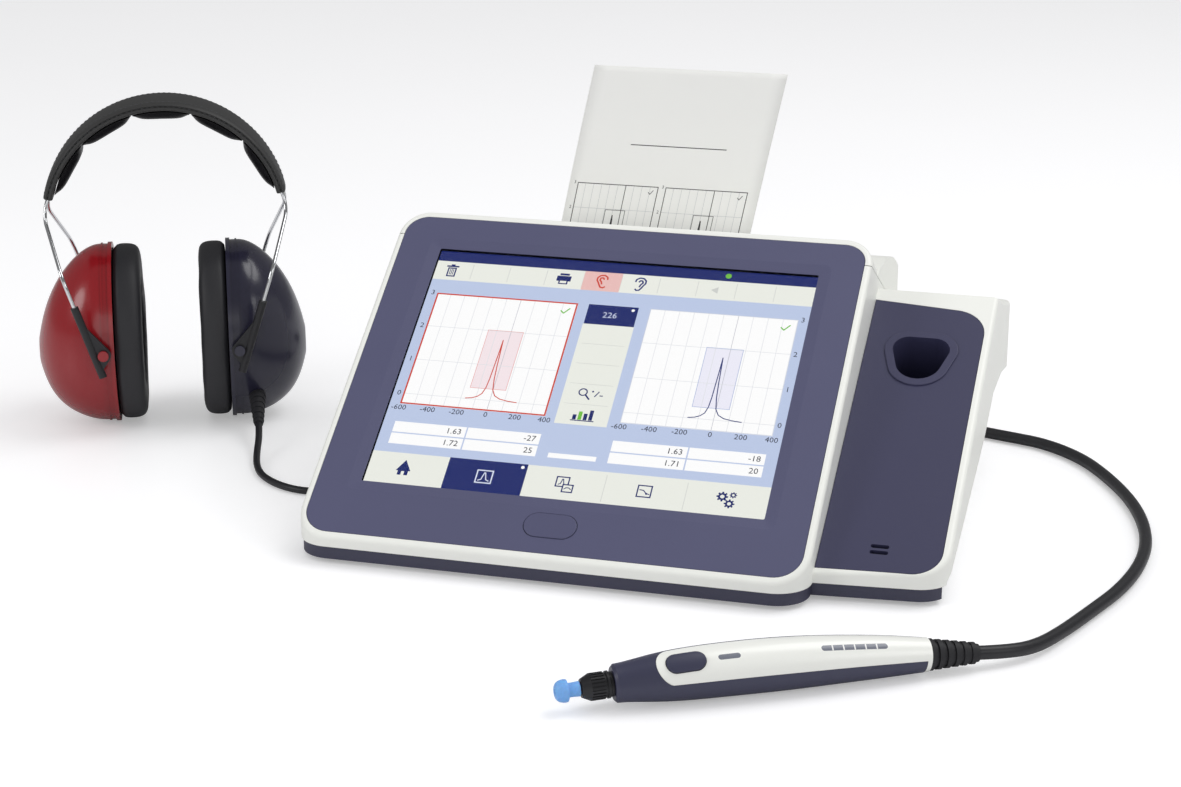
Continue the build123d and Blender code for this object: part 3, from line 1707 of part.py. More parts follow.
red_cup = make_cup(-1)
report(red_cup, "red_cup")
dark_cup = make_cup(1)
report(dark_cup, "dark_cup")
red_cushion = make_cushion(-1)
report(red_cushion, "red_cushion")
dark_cushion = make_cushion(1)
report(dark_cushion, "dark_cushion")
red_driver = make_driver(-1)
report(red_driver, "red_driver")
dark_driver = make_driver(1)
report(dark_driver, "dark_driver")

# Yokes: two sleeves with eyes and two wires on each side
sleeve_radius = 2.3
sleeve_front = 46.0
sleeve_top = (53.7, 82.0)
sleeve_foot = (39.9, 39.8)
wire_radius = 1.1
wire_insert = 6.0
wire_band_front = 11.0
wire_top_angle = 60.0
wire_below_band = 10.0
wire_above_sleeve = 18.0
wire_bend = 16.0
band_centre = 122.3
band_outer = 71.6
band_inner = 66.0
band_middle = (band_outer + band_inner) / 2
band_half_span = 76.0
eye_radius = 4.4
eye_points = [(50.0, 70.7), (41.2, 43.8)]


def make_sleeves(side):
    """The two dark sleeves of a yoke with their eyes round the cup's pins."""
    with BuildPart() as sleeves:
        for face in (1, -1):
            top = Vector(*head_point(side * sleeve_top[0], face * sleeve_front, sleeve_top[1]))
            foot = Vector(*head_point(side * sleeve_foot[0], face * sleeve_front, sleeve_foot[1]))
            with BuildSketch(Plane(origin=foot, z_dir=top - foot)):
                Circle(sleeve_radius)
            extrude(amount=(top - foot).length)
            with BuildSketch(head_front_plane(face * eye_in)):
                with Locations((side * pivot_at, pivot_up)):
                    Circle(eye_radius)
                for across, up in eye_points:
                    with Locations((side * across, up)):
                        Circle(wire_radius)
                make_hull()
            extrude(amount=face * eye_thickness)
            with BuildSketch(Plane(origin=foot, z_dir=top - foot).offset((top - foot).length)):
                Circle(wire_radius)
            extrude(amount=-wire_insert, mode=Mode.SUBTRACT)
            with BuildSketch(head_front_plane(face * (eye_in - sleeve_radius))):
                with Locations((side * pivot_at, pivot_up)):
                    Circle(pivot_radius + pivot_running)
            extrude(amount=face * 4 * sleeve_radius, mode=Mode.SUBTRACT)
    return sleeves


def band_point(radius, angle):
    """A point of the headband's section, from its arch's centre."""
    lean = math.radians(angle)
    return radius * math.sin(lean), band_centre + radius * math.cos(lean)


def bore_line(side, face):
    """Where a wire leaves the headband, and its direction out of it."""
    low_side, low_up = band_point(band_middle, band_half_span)
    top_side, top_up = band_point(band_middle, wire_top_angle)
    low = Vector(*head_point(side * low_side, face * wire_band_front, low_up))
    top = Vector(*head_point(side * top_side, face * wire_band_front, top_up))
    return low, top, (low - top).normalized()


def make_wires(side):
    """The two chrome wires from the sleeves up into the headband."""
    with BuildPart() as wires:
        for face in (1, -1):
            top = Vector(*head_point(side * sleeve_top[0], face * sleeve_front, sleeve_top[1]))
            foot = Vector(*head_point(side * sleeve_foot[0], face * sleeve_front, sleeve_foot[1]))
            ahead = (top - foot).normalized()
            low, high, out = bore_line(side, face)
            start = top - ahead * wire_insert
            above = top + ahead * wire_above_sleeve
            with BuildLine() as path:
                FilletPolyline(start, above, low + out * wire_below_band, high, radius=wire_bend)
            with BuildSketch(Plane(origin=start, z_dir=ahead)):
                Circle(wire_radius)
            sweep(path=path.wires()[0])
    return wires


right_yoke_sleeves = make_sleeves(1)
report(right_yoke_sleeves, "right_yoke_sleeves")
right_yoke_wires = make_wires(1)
report(right_yoke_wires, "right_yoke_wires")
left_yoke_sleeves = make_sleeves(-1)
report(left_yoke_sleeves, "left_yoke_sleeves")
left_yoke_wires = make_wires(-1)
report(left_yoke_wires, "left_yoke_wires")

# Headband with its padding
band_width = 36.0
band_round = 2.4
bore_running = 0.1
bore_margin = 3.0
with BuildPart() as headband_cover:
    with BuildSketch(head_front_plane(-band_width / 2)):
        with BuildLine():
            outer = [band_point(band_outer, turn) for turn in (-band_half_span, 0, band_half_span)]
            inner = [band_point(band_inner, turn) for turn in (band_half_span, 0, -band_half_span)]
            ThreePointArc(*outer)
            Line(outer[-1], inner[0])
            ThreePointArc(*inner)
            Line(inner[-1], outer[0])
        make_face()
    extrude(amount=band_width)
    long_edges = headband_cover.edges().filter_by(GeomType.CIRCLE)
    fillet(long_edges, radius=band_round)
    for side in (1, -1):
        for face in (1, -1):
            low, high, out = bore_line(side, face)
            with BuildSketch(Plane(origin=low + out * bore_margin, z_dir=-out)):
                Circle(wire_radius + bore_running)
            extrude(amount=(high - low).length + 2 * bore_margin, mode=Mode.SUBTRACT)
report(headband_cover, "headband_cover")

pad_count = 5
pad_spread = 148.0
pad_thickness = 5.4
pad_gap = 0.15
pad_share = 0.94
pad_width_share = 0.88
pad_shoulder_share = 0.5
pad_step = pad_spread / pad_count


with BuildPart() as headband_pads:
    for step in range(pad_count):
        turn = (step - (pad_count - 1) / 2) * pad_step
        half = pad_step / 2 * pad_share
        with BuildSketch(head_front_plane(-band_width * pad_width_share / 2)):
            with BuildLine():
                outer = band_inner - pad_gap
                crown = band_inner - pad_thickness
                shoulder = band_inner - pad_thickness * pad_shoulder_share
                ends = [band_point(outer, turn - half), band_point(outer, turn + half)]
                low = [band_point(shoulder, turn - half), band_point(shoulder, turn + half)]
                ThreePointArc(ends[0], band_point(outer, turn), ends[1])
                Line(ends[1], low[1])
                ThreePointArc(low[1], band_point(crown - pad_gap, turn), low[0])
                Line(low[0], ends[0])
            make_face()
        extrude(amount=band_width * pad_width_share)
report(headband_pads, "headband_pads")

# Relief on the dark cup, for the headset's cord
cup_relief_side = 48.0
cup_relief_front = 30.5
cup_relief_up = 20.0
cup_relief_drop = 15.0
cup_relief_length = 31.0
cup_relief_first = 4.4
cup_relief_last = 2.6
relief_ahead = Vector(
    head_front[0] * math.cos(math.radians(cup_relief_drop)),
    head_front[1] * math.cos(math.radians(cup_relief_drop)),
    -math.sin(math.radians(cup_relief_drop)),
)
relief_foot = Vector(*head_point(cup_relief_side, cup_relief_front, cup_relief_up))
headset_relief = make_relief(
    Plane(origin=relief_foot, z_dir=relief_ahead),
    cup_relief_length,
    cup_relief_first,
    cup_relief_last,
    relief_ribs,
    relief_rib_width,
    rib_rise / 2,
)
with BuildPart() as headset_relief_cut:
    add(headset_relief.part)
    add(dark_cup.part, mode=Mode.SUBTRACT)
    whole = headset_relief_cut.solids().sort_by(SortBy.VOLUME)[-1]
with BuildPart() as headset_relief_piece:
    add(whole)
report(headset_relief_piece, "headset_relief")
headset_cord_exit = relief_foot + relief_ahead * cup_relief_length

bend_share = 0.45


def tube(points, radius, name):
    """A cord's free stretch: straight runs joined by arcs as large as the runs allow."""
    places = [Vector(*point) for point in points]
    runs = [after - before for before, after in zip(places, places[1:])]
    radii = []
    for before, after in zip(runs, runs[1:]):
        turn = math.radians(before.get_angle(after))
        radii.append(bend_share * min(before.length, after.length) / math.tan(turn / 2))
    with BuildPart() as cord:
        with BuildLine() as path:
            FilletPolyline(*places, radius=radii)
        with BuildSketch(Plane(origin=places[0], z_dir=runs[0])):
            Circle(radius)
        sweep(path=path.wires()[0])
    length = path.wires()[0].length
    spare = cord.part.volume / (math.pi * radius * radius * length)
    print(name, "least arc in diameters", round(min(radii) / (2 * radius), 2), end=" ")
    print("length", round(length, 1), "volume share", round(spare, 4))
    return cord


coil_parts = 4
coil_step_share = 0.0005
climb_turns = 0.5


def coil_place(centre, outer, pitch, turns, first_angle, turning, low, wound):
    """One place on the coil's line, after a number of turns."""
    radius = outer - pitch * min(wound, turns - wound)
    climb = min(max((wound - turns / 2) / climb_turns + 1 / 2, 0), 1)
    height = low + pitch * climb * climb * (3 - 2 * climb)
    angle = math.radians(first_angle) + turning * 2 * math.pi * wound
    return Vector(
        centre[0] + radius * math.cos(angle), centre[1] + radius * math.sin(angle), height
    )


def coil_points(*coil):
    """Places and directions along a coil that winds in, climbs a layer and winds out again."""
    turns = coil[3]
    places = []
    for part in range(round(turns * coil_parts) + 1):
        wound = part / coil_parts
        after = coil_place(*coil, wound + coil_step_share)
        before = coil_place(*coil, wound - coil_step_share)
        places.append((coil_place(*coil, wound), (after - before).normalized()))
    return places


def biarc_joint(start, start_ahead, end, end_ahead):
    """Where two arcs from one place and direction to another meet, and their direction there."""
    chord = end - start
    both = start_ahead + end_ahead
    square = 2 * (1 - start_ahead.dot(end_ahead))
    reach = 2 * chord.dot(both)
    root = math.sqrt(reach * reach / 4 + square * chord.dot(chord))
    arm = (root - reach / 2) / square
    first = start + start_ahead * arm
    second = end - end_ahead * arm
    joint = (first + second) * 0.5
    return joint, (second - first).normalized()


def wound_cord(radius, places, name):
    """A coil's one unbroken tube, on two arcs for each quarter turn."""
    straight = 2 * radius
    start, start_ahead = places[0]
    end, end_ahead = places[-1]
    with BuildPart() as coil:
        with BuildLine() as path:
            Line(start - start_ahead * straight, start)
            for (near, near_ahead), (far, far_ahead) in zip(places, places[1:]):
                joint, joint_ahead = biarc_joint(near, near_ahead, far, far_ahead)
                TangentArc(near, joint, tangent=near_ahead)
                TangentArc(joint, far, tangent=joint_ahead)
            Line(end, end + end_ahead * straight)
        with BuildSketch(Plane(origin=start - start_ahead * straight, z_dir=start_ahead)):
            Circle(radius)
        sweep(path=path.wires()[0])
    wire = path.wires()[0]
    share = coil.part.volume / (math.pi * radius * radius * wire.length)
    print(name, "length", round(wire.length, 1), "volume share", round(share, 4))
    return coil


# Put-away lengths behind the console
layer_gap = 0.6
tie_room = 2.0
probe_coil_turns = 4.5
probe_coil_outer = 42.0
probe_coil_pitch = 2 * probe_cord_radius + layer_gap
probe_coil_low = probe_cord_radius + tie_room
probe_coil_behind = 133.0
probe_coil_centre = (probe_socket_x + probe_coil_outer, rear_y + probe_coil_behind)
headset_coil_turns = 7.5
headset_coil_outer = 30.5
headset_coil_pitch = 2 * headset_cord_radius + layer_gap
headset_coil_low = headset_cord_radius + tie_room
headset_coil_behind = 112.0
headset_coil_centre = (headset_socket_x - headset_coil_outer, rear_y + headset_coil_behind)

probe_places = coil_points(
    probe_coil_centre, probe_coil_outer, probe_coil_pitch, probe_coil_turns, 0, 1, probe_coil_low
)
probe_cord_coil = wound_cord(probe_cord_radius, probe_places, "probe_cord_coil")
report(probe_cord_coil, "probe_cord_coil")
headset_first_angle = 180.0
headset_places = coil_points(
    headset_coil_centre, headset_coil_outer, headset_coil_pitch, headset_coil_turns,
    headset_first_angle, -1, headset_coil_low,
)
headset_cord_coil = wound_cord(headset_cord_radius, headset_places, "headset_cord_coil")
report(headset_cord_coil, "headset_cord_coil")

# Free stretches of the cords
probe_exit = probe_plane(body_end).offset(relief_length)
probe_start = probe_exit.origin
probe_ahead = probe_exit.z_dir
floor_gap = 0.1
floor_probe = probe_cord_radius + floor_gap
floor_headset = headset_cord_radius + floor_gap
coil_start, coil_ahead = probe_places[0]
coil_in = coil_start - coil_ahead * 2 * probe_cord_radius
probe_route = [
    tuple(probe_start),
    tuple(probe_start + probe_ahead * 14.0),
    (245.5, -33.5, 4.6),
    (256.0, -8.0, floor_probe),
    (266.5, 20.0, floor_probe),
    (277.5, 50.0, floor_probe),
    (284.5, 83.0, floor_probe),
    (286.5, 116.0, floor_probe),
    (282.5, 150.0, floor_probe),
    (273.5, 183.0, floor_probe),
    (260.0, 214.0, floor_probe),
    (243.0, 244.0, floor_probe),
    (220.0, 265.0, floor_probe),
    (198.0, 272.0, floor_probe),
    (173.0, 280.0, floor_probe),
    (150.0, 299.0, floor_probe),
    tuple(coil_in - coil_ahead * 47.0),
    tuple(coil_in),
]
probe_cord = tube(probe_route, probe_cord_radius, "probe_cord")
coil_end, coil_end_ahead = probe_places[-1]
coil_out = coil_end + coil_end_ahead * 2 * probe_cord_radius
probe_tail_route = [
    tuple(coil_out),
    tuple(coil_out + coil_end_ahead * 22.0),
    (probe_socket_x, probe_plug_end + 23.0, socket_height),
    (probe_socket_x, probe_plug_end, socket_height),
]
probe_cord_tail = tube(probe_tail_route, probe_cord_radius, "probe_cord_tail")
with BuildPart() as probe_cord_free:
    add(probe_cord.part)
    add(probe_cord_tail.part)
report(probe_cord_free, "probe_cord")

coil_start, coil_ahead = headset_places[0]
coil_in = coil_start - coil_ahead * 2 * headset_cord_radius
headset_route = [
    tuple(headset_cord_exit),
    tuple(headset_cord_exit + relief_ahead * 13.0),
    (-211.5, 124.0, 4.2),
    (-205.0, 108.5, floor_headset),
    (-195.5, 94.0, floor_headset),
    (-181.0, 82.5, floor_headset),
    (-165.0, 77.0, floor_headset),
    (-151.5, 80.5, floor_headset),
    (-144.5, 93.0, floor_headset),
    (-143.5, 112.0, floor_headset),
    (-146.0, 140.0, floor_headset),
    (-148.5, 178.0, floor_headset),
    (-147.5, 220.0, floor_headset),
    (-142.0, 262.0, floor_headset),
    (-130.0, 300.0, floor_headset),
    tuple(coil_in - coil_ahead * 34.0),
    tuple(coil_in),
]
headset_cord = tube(headset_route, headset_cord_radius, "headset_cord")
coil_end, coil_end_ahead = headset_places[-1]
coil_out = coil_end + coil_end_ahead * 2 * headset_cord_radius
headset_tail_route = [
    tuple(coil_out),
    tuple(coil_out + coil_end_ahead * 20.0),
    (headset_socket_x, headset_plug_end + 19.0, socket_height),
    (headset_socket_x, headset_plug_end, socket_height),
]
headset_cord_tail = tube(headset_tail_route, headset_cord_radius, "headset_cord_tail")
with BuildPart() as headset_cord_free:
    add(headset_cord.part)
    add(headset_cord_tail.part)
report(headset_cord_free, "headset_cord")

# A strap round each coil, on its far side
tie_thickness = 1.0
tie_width = 9.0
tie_gap = 0.8


def make_tie(centre, outer, radius, pitch, turns, low):
    """A flat strap loop round the coil's loops."""
    inner = outer - pitch * turns / 2
    width = outer - inner + 2 * radius + 2 * tie_gap
    height = pitch + 2 * radius + 2 * tie_gap
    middle = low + pitch / 2
    with BuildPart() as tie:
        with BuildSketch(Plane.YZ.offset(centre[0] - tie_width / 2)):
            with Locations((centre[1] + (outer + inner) / 2, middle)):
                RectangleRounded(width + 2 * tie_thickness, height + 2 * tie_thickness, radius)
                RectangleRounded(width, height, radius - tie_thickness, mode=Mode.SUBTRACT)
        extrude(amount=tie_width)
    return tie


probe_cord_tie = make_tie(
    probe_coil_centre, probe_coil_outer, probe_cord_radius, probe_coil_pitch, probe_coil_turns,
    probe_coil_low,
)
headset_cord_tie = make_tie(
    headset_coil_centre, headset_coil_outer, headset_cord_radius, headset_coil_pitch,
    headset_coil_turns, headset_coil_low,
)
with BuildPart() as cord_ties:
    add(probe_cord_tie.part)
    add(headset_cord_tie.part)
report(cord_ties, "cord_ties")
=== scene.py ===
import math

import bmesh
import bpy
from mathutils import Matrix, Vector, noise


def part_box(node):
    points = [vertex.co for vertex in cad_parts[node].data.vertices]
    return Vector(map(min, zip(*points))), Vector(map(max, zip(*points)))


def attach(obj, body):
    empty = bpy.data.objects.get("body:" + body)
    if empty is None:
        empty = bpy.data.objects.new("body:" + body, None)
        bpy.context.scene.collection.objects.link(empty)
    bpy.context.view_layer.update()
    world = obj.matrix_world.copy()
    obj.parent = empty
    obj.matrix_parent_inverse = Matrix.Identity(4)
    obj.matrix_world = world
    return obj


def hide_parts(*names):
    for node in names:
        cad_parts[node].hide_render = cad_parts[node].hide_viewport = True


bl_info = {
    "name": "Tympanometer finishes",
    "version": (1, 0, 0),
    "blender": (4, 5, 0),
    "location": "View3D > Sidebar > Tympanometer",
    "description": "Finishes, display, printout, upholstery and cords of a desktop tympanometer",
    "category": "Object",
}

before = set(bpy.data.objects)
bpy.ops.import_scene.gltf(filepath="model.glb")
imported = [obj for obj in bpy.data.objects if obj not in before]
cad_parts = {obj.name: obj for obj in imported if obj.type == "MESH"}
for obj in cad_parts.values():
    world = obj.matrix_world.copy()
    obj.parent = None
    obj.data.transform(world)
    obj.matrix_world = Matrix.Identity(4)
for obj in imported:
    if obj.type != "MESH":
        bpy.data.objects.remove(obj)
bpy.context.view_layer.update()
MM = 0.001

# Places that the CAD sets, in millimetres and degrees
DISPLAY_FOOT = Vector((0, -15.0, 14.2))
DISPLAY_TILT = 35.0
MODULE_DEPTH = 3.2
GLASS_DEPTH = 1.4
ACTIVE_WIDTH = 211.2
ACTIVE_HEIGHT = 158.4
ACTIVE_FOOT = 38.0
STRIP_FOOT = Vector((-5.0, 220.7, 116.0))
STRIP_WIDTH = 111.0
STRIP_HEIGHT = 102.0
STRIP_DRIFT = 20.6
STRIP_LEAN = 5.5
PROBE_TOP = Vector((122.0, -111.0, 12.3))
PROBE_TOP_AT = 85.0
PROBE_HEADING = 29.8
PROBE_ROLL = 38.0
PROBE_BEND = 1258.0
NOSE_END = 26.1
HEADSET_PLACE = Vector((-290.0, 187.0, 0))
HEADSET_YAW = 24.0
CUP_MIDDLE = 54.0
CUSHION_HOLE = Vector((20.0, 30.0))
CUSHION_RIM = Vector((41.4, 52.8))
CUSHION_SEAT = 32.9
BAND_MIDDLE = 122.3
BAND_HALF_SPAN = math.radians(76.0)

# The floor's own glow, which keeps it white as far as the camera sees
FLOOR_LIFT = 0.32


def light(red, green, blue):
    """A display colour of 0 to 255 as linear light."""
    shades = [value / 255 for value in (red, green, blue)]
    return tuple(
        shade / 12.92 if shade <= 0.04045 else ((shade + 0.055) / 1.055) ** 2.4
        for shade in shades
    )


def colour(name, description, *shades):
    """A colour that the user can change."""
    return bpy.props.FloatVectorProperty(
        name=name, description=description, default=light(*shades), min=0, max=1, subtype="COLOR"
    )


def size(name, description, millimetres):
    """A length that the user can change."""
    return bpy.props.FloatProperty(
        name=name, description=description, default=millimetres * MM, min=0, unit="LENGTH"
    )


class TYMP_finish_colours(bpy.types.PropertyGroup):
    white_shell: colour("White shell", "Housing, printer lid and probe cover", 236, 237, 232)
    bezel_grey: colour("Bezel", "Frame round the display", 83, 84, 115)
    cradle_grey: colour("Cradle", "Panel that holds the probe", 58, 58, 88)
    tray_dark: colour("Tray", "Base tray below the white shell", 58, 58, 78)
    probe_dark: colour("Probe body", "Lower shell of the hand probe", 56, 57, 80)
    cup_red: colour("Red cup", "Ear cup for the right ear", 142, 20, 28)
    cup_dark: colour("Dark cup", "Ear cup for the left ear", 38, 37, 54)
    leather_black: colour("Leatherette", "Cushions and headband", 15, 14, 18)
    rubber_black: colour("Rubber", "Cords, reliefs and feet", 30, 30, 34)
    tip_blue: colour("Ear tip", "Soft tip of the probe", 118, 174, 236)
    paper_white: colour("Paper", "Roll and printed strip", 254, 254, 252)


class TYMP_display_colours(bpy.types.PropertyGroup):
    navy: colour("Navy", "Title bar and chosen buttons", 28, 40, 104)
    field: colour("Field", "Background of the graphs", 187, 200, 228)
    cell: colour("Buttons", "Buttons at rest", 233, 235, 227)
    rule: colour("Dividers", "Lines between the buttons", 205, 207, 203)
    rose: colour("Chosen ear", "Button of the chosen ear", 231, 188, 184)
    red: colour("Right ear", "Graph of the right ear", 205, 74, 58)
    blue: colour("Left ear", "Graph of the left ear", 40, 52, 116)
    green: colour("Done", "Ticks and the ready light", 112, 188, 66)


class TYMP_headset_sizes(bpy.types.PropertyGroup):
    pad_height: size("Pad height", "How far a headband pad stands from the band", 5.2)
    stitch_pitch: size("Stitch pitch", "Distance between stitches", 3.0)
    fold_depth: size("Folds", "Depth of the small folds in the ear cushions", 0.35)


class TYMP_cord_sizes(bpy.types.PropertyGroup):
    probe_cord: size("Probe cord", "Outer diameter of the probe's cord", 6.6)
    headset_cord: size("Headset cord", "Outer diameter of the headset's cord", 4.0)


class TYMP_stage_settings(bpy.types.PropertyGroup):
    floor: colour("Floor", "The pale floor", 230, 230, 232)
    sky: bpy.props.FloatProperty(
        name="Surrounding light", description="Even light from all round", default=0.68, min=0
    )
    mirrored: bpy.props.FloatProperty(
        name="Mirrored light", description="Surroundings in glossy surfaces", default=0.22, min=0
    )
    lamp: bpy.props.FloatProperty(
        name="Lamps", description="Strength of the soft lamps", default=1.0, min=0
    )


GROUPS = {
    "tymp_finish": TYMP_finish_colours,
    "tymp_display": TYMP_display_colours,
    "tymp_headset": TYMP_headset_sizes,
    "tymp_cords": TYMP_cord_sizes,
    "tymp_stage": TYMP_stage_settings,
}


# Material building blocks


def settle(node, **values):
    """Sets a node's sockets by name, with an underscore for each space."""
    for name, value in values.items():
        node.inputs[name.replace("_", " ")].default_value = value


def start_material(name, shade, roughness):
    """A new material with one principled shader."""
    material = bpy.data.materials.new(name)
    material.use_nodes = True
    shader = material.node_tree.nodes["Principled BSDF"]
    settle(shader, Base_Color=(*shade, 1), Roughness=roughness)
    material.diffuse_color = (*shade, 1)
    return material, material.node_tree, shader


def pattern(tree, kind, grain, stretch=(1, 1, 1)):
    """A pattern on the piece's own coordinates, with a grain in millimetres."""
    place = tree.nodes.new("ShaderNodeTexCoord")
    mapping = tree.nodes.new("ShaderNodeMapping")
    texture = tree.nodes.new(kind)
    settle(mapping, Scale=stretch)
    settle(texture, Scale=1 / (grain * MM))
    tree.links.new(place.outputs["Object"], mapping.inputs["Vector"])
    tree.links.new(mapping.outputs["Vector"], texture.inputs["Vector"])
    return texture


def clouds(tree, grain, detail=2, stretch=(1, 1, 1)):
    """Cloudy noise, as shares from 0 to 1."""
    texture = pattern(tree, "ShaderNodeTexNoise", grain, stretch)
    settle(texture, Detail=detail)
    return texture.outputs["Fac"]


def reckoned(tree, operation, *values):
    """What a sum of sockets and numbers gives."""
    node = tree.nodes.new("ShaderNodeMath")
    node.operation = operation
    for socket, value in zip(node.inputs, values):
        if isinstance(value, float):
            socket.default_value = value
        else:
            tree.links.new(value, socket)
    return node.outputs[0]


def tint(tree, shader, share, low, high):
    """Runs the base colour from one shade to another."""
    mix = tree.nodes.new("ShaderNodeMix")
    mix.data_type = "RGBA"
    settle(mix, A=(*low, 1), B=(*high, 1))
    tree.links.new(share, mix.inputs["Factor"])
    tree.links.new(mix.outputs["Result"], shader.inputs["Base Color"])
    return mix


def mottled(tree, shader, share, shade, low, high):
    """Runs the base colour from a darker to a lighter shade of one colour."""
    tint(tree, shader, share, scaled(shade, low), scaled(shade, high))


def spread(tree, share, low, high):
    """Runs a value from one number to another."""
    span = tree.nodes.new("ShaderNodeMapRange")
    settle(span, To_Min=low, To_Max=high)
    tree.links.new(share, span.inputs["Value"])
    return span


def shine(tree, shader, share, low, high):
    """Runs the roughness from one value to another."""
    span = spread(tree, share, low, high)
    tree.links.new(span.outputs["Result"], shader.inputs["Roughness"])


def emboss(tree, shader, height, depth, before=None):
    """Raises the surface by a pattern, to a depth in millimetres."""
    bump = tree.nodes.new("ShaderNodeBump")
    settle(bump, Distance=depth * MM)
    tree.links.new(height, bump.inputs["Height"])
    if before:
        tree.links.new(before.outputs["Normal"], bump.inputs["Normal"])
    tree.links.new(bump.outputs["Normal"], shader.inputs["Normal"])
    return bump


def scaled(shade, factor):
    """A lighter or darker shade of a colour."""
    return tuple(min(1.0, value * factor) for value in shade)


def moulded(name, shade, roughness, grain=0.55, depth=0.03, contrast=0.05, coat=0.0):
    """Fine-textured moulded plastic."""
    material, tree, shader = start_material(name, shade, roughness)
    broad = clouds(tree, 45.0)
    fine = clouds(tree, grain, 3)
    both = reckoned(tree, "MULTIPLY_ADD", fine, 0.5, reckoned(tree, "MULTIPLY", broad, 0.5))
    mottled(tree, shader, both, shade, 1 - contrast, 1 + contrast)
    shine(tree, shader, broad, roughness - 0.05, roughness + 0.05)
    emboss(tree, shader, fine, depth)
    settle(shader, Coat_Weight=coat, Coat_Roughness=0.12)
    return material


def leatherette(name, shade, roughness, grain, depth):
    """Soft coated cloth with a pebbled grain."""
    material, tree, shader = start_material(name, shade, roughness)
    cells = pattern(tree, "ShaderNodeTexVoronoi", grain)
    cells.feature = "SMOOTH_F1"
    creases = clouds(tree, 9.0, 6)
    mottled(tree, shader, creases, shade, 0.7, 1.5)
    shine(tree, shader, creases, roughness - 0.08, roughness + 0.12)
    first = emboss(tree, shader, cells.outputs["Distance"], depth)
    emboss(tree, shader, creases, 0.25, first)
    settle(shader, Specular_IOR_Level=0.15, Coat_Weight=0.06, Coat_Roughness=0.2)
    return material


def metal(name, shade, roughness, stretch, depth):
    """Drawn or plated metal with fine lines along one direction."""
    material, tree, shader = start_material(name, shade, roughness)
    settle(shader, Metallic=1)
    lines = clouds(tree, 0.9, 4, stretch)
    mottled(tree, shader, lines, shade, 0.86, 1.08)
    shine(tree, shader, lines, roughness * 0.7, roughness * 1.3)
    emboss(tree, shader, lines, depth)
    return material


def soft_rubber(name, shade, roughness=0.55):
    """Matt rubber with a little dust in its grain."""
    material, tree, shader = start_material(name, shade, roughness)
    dust = clouds(tree, 1.6, 5)
    mottled(tree, shader, dust, shade, 0.8, 1.35)
    shine(tree, shader, dust, roughness - 0.1, roughness + 0.1)
    emboss(tree, shader, dust, 0.02)
    return material


def circuit_board(name):
    """Green board with copper tracks and bright pads."""
    material, tree, shader = start_material(name, (0.01, 0.09, 0.04), 0.35)
    tracks = pattern(tree, "ShaderNodeTexBrick", 9.0)
    settle(tracks, Mortar_Size=0.03, Mortar=(0.03, 0.2, 0.08, 1))
    settle(tracks, Color1=(0.008, 0.085, 0.035, 1), Color2=(0.01, 0.1, 0.042, 1))
    pads = pattern(tree, "ShaderNodeTexVoronoi", 4.5)
    ring = reckoned(tree, "LESS_THAN", pads.outputs["Distance"], 0.12)
    mix = tint(tree, shader, ring, (0, 0, 0), (0.7, 0.6, 0.35))
    tree.links.new(tracks.outputs["Color"], mix.inputs["A"])
    emboss(tree, shader, tracks.outputs["Fac"], 0.03)
    return material


def painted(name, roughness, glow=0.0):
    """Takes its colour from the shapes it is drawn in."""
    material, tree, shader = start_material(name, (0.5, 0.55, 0.6), roughness)
    paint = tree.nodes.new("ShaderNodeAttribute")
    paint.attribute_name = "paint"
    if glow:
        settle(shader, Base_Color=(0.01, 0.01, 0.012, 1), Specular_IOR_Level=0)
        settle(shader, Emission_Strength=glow)
    target = "Emission Color" if glow else "Base Color"
    tree.links.new(paint.outputs["Color"], shader.inputs[target])
    return material


def clear(name, shade, roughness, ior):
    """Clear glass or plastic."""
    material, tree, shader = start_material(name, shade, roughness)
    settle(shader, Transmission_Weight=1, IOR=ior)
    return material


# Mesh building blocks


def put(bm, name, materials, body, replaced=(), sharp=None, inside_out=True):
    """Makes one finished piece of a mesh in the frame's own coordinates."""
    if inside_out:
        bmesh.ops.remove_doubles(bm, verts=bm.verts, dist=0.00002 * MM)
        bmesh.ops.recalc_face_normals(bm, faces=bm.faces)
    mesh = bpy.data.meshes.new(name)
    bm.to_mesh(mesh)
    bm.free()
    for material in materials:
        mesh.materials.append(material)
    if sharp is not None:
        mesh.shade_smooth()
        mesh.set_sharp_from_angle(angle=math.radians(sharp))
    piece = bpy.data.objects.new(name, mesh)
    bpy.context.scene.collection.objects.link(piece)
    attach(piece, body)
    if replaced:
        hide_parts(*replaced)
    return piece


def turned(outline, axis, angle, steps):
    """A closed outline turned round an axis, all the way or part of it."""
    bm = bmesh.new()
    ring = [bm.verts.new(point) for point in outline]
    edges = [bm.edges.new((ring[i - 1], ring[i])) for i in range(len(ring))]
    whole = angle == 2 * math.pi
    bmesh.ops.spin(bm, geom=ring + edges, axis=axis, angle=angle, steps=steps, use_merge=whole)
    return bm


def edges_of(corners):
    """The edges that meet at some corners."""
    return list({edge for corner in corners for edge in corner.link_edges})


def subdivided(piece, levels=2):
    """Rounds a piece with a subdivision surface."""
    modifier = piece.modifiers.new("Rounding", "SUBSURF")
    modifier.levels = levels
    modifier.render_levels = levels
    return piece


def thickened(piece, millimetres, offset=0.0):
    """Gives a sheet its thickness."""
    modifier = piece.modifiers.new("Thickness", "SOLIDIFY")
    modifier.thickness = millimetres * MM
    modifier.offset = offset
    return piece


def display_matrix():
    """From the display's own coordinates, in millimetres over its active area, to the frame."""
    tilt = Matrix.Rotation(math.radians(DISPLAY_TILT), 4, "X")
    foot = tilt @ Vector((0, ACTIVE_FOOT, -MODULE_DEPTH))
    return Matrix.Scale(MM, 4) @ Matrix.Translation(DISPLAY_FOOT + foot) @ tilt


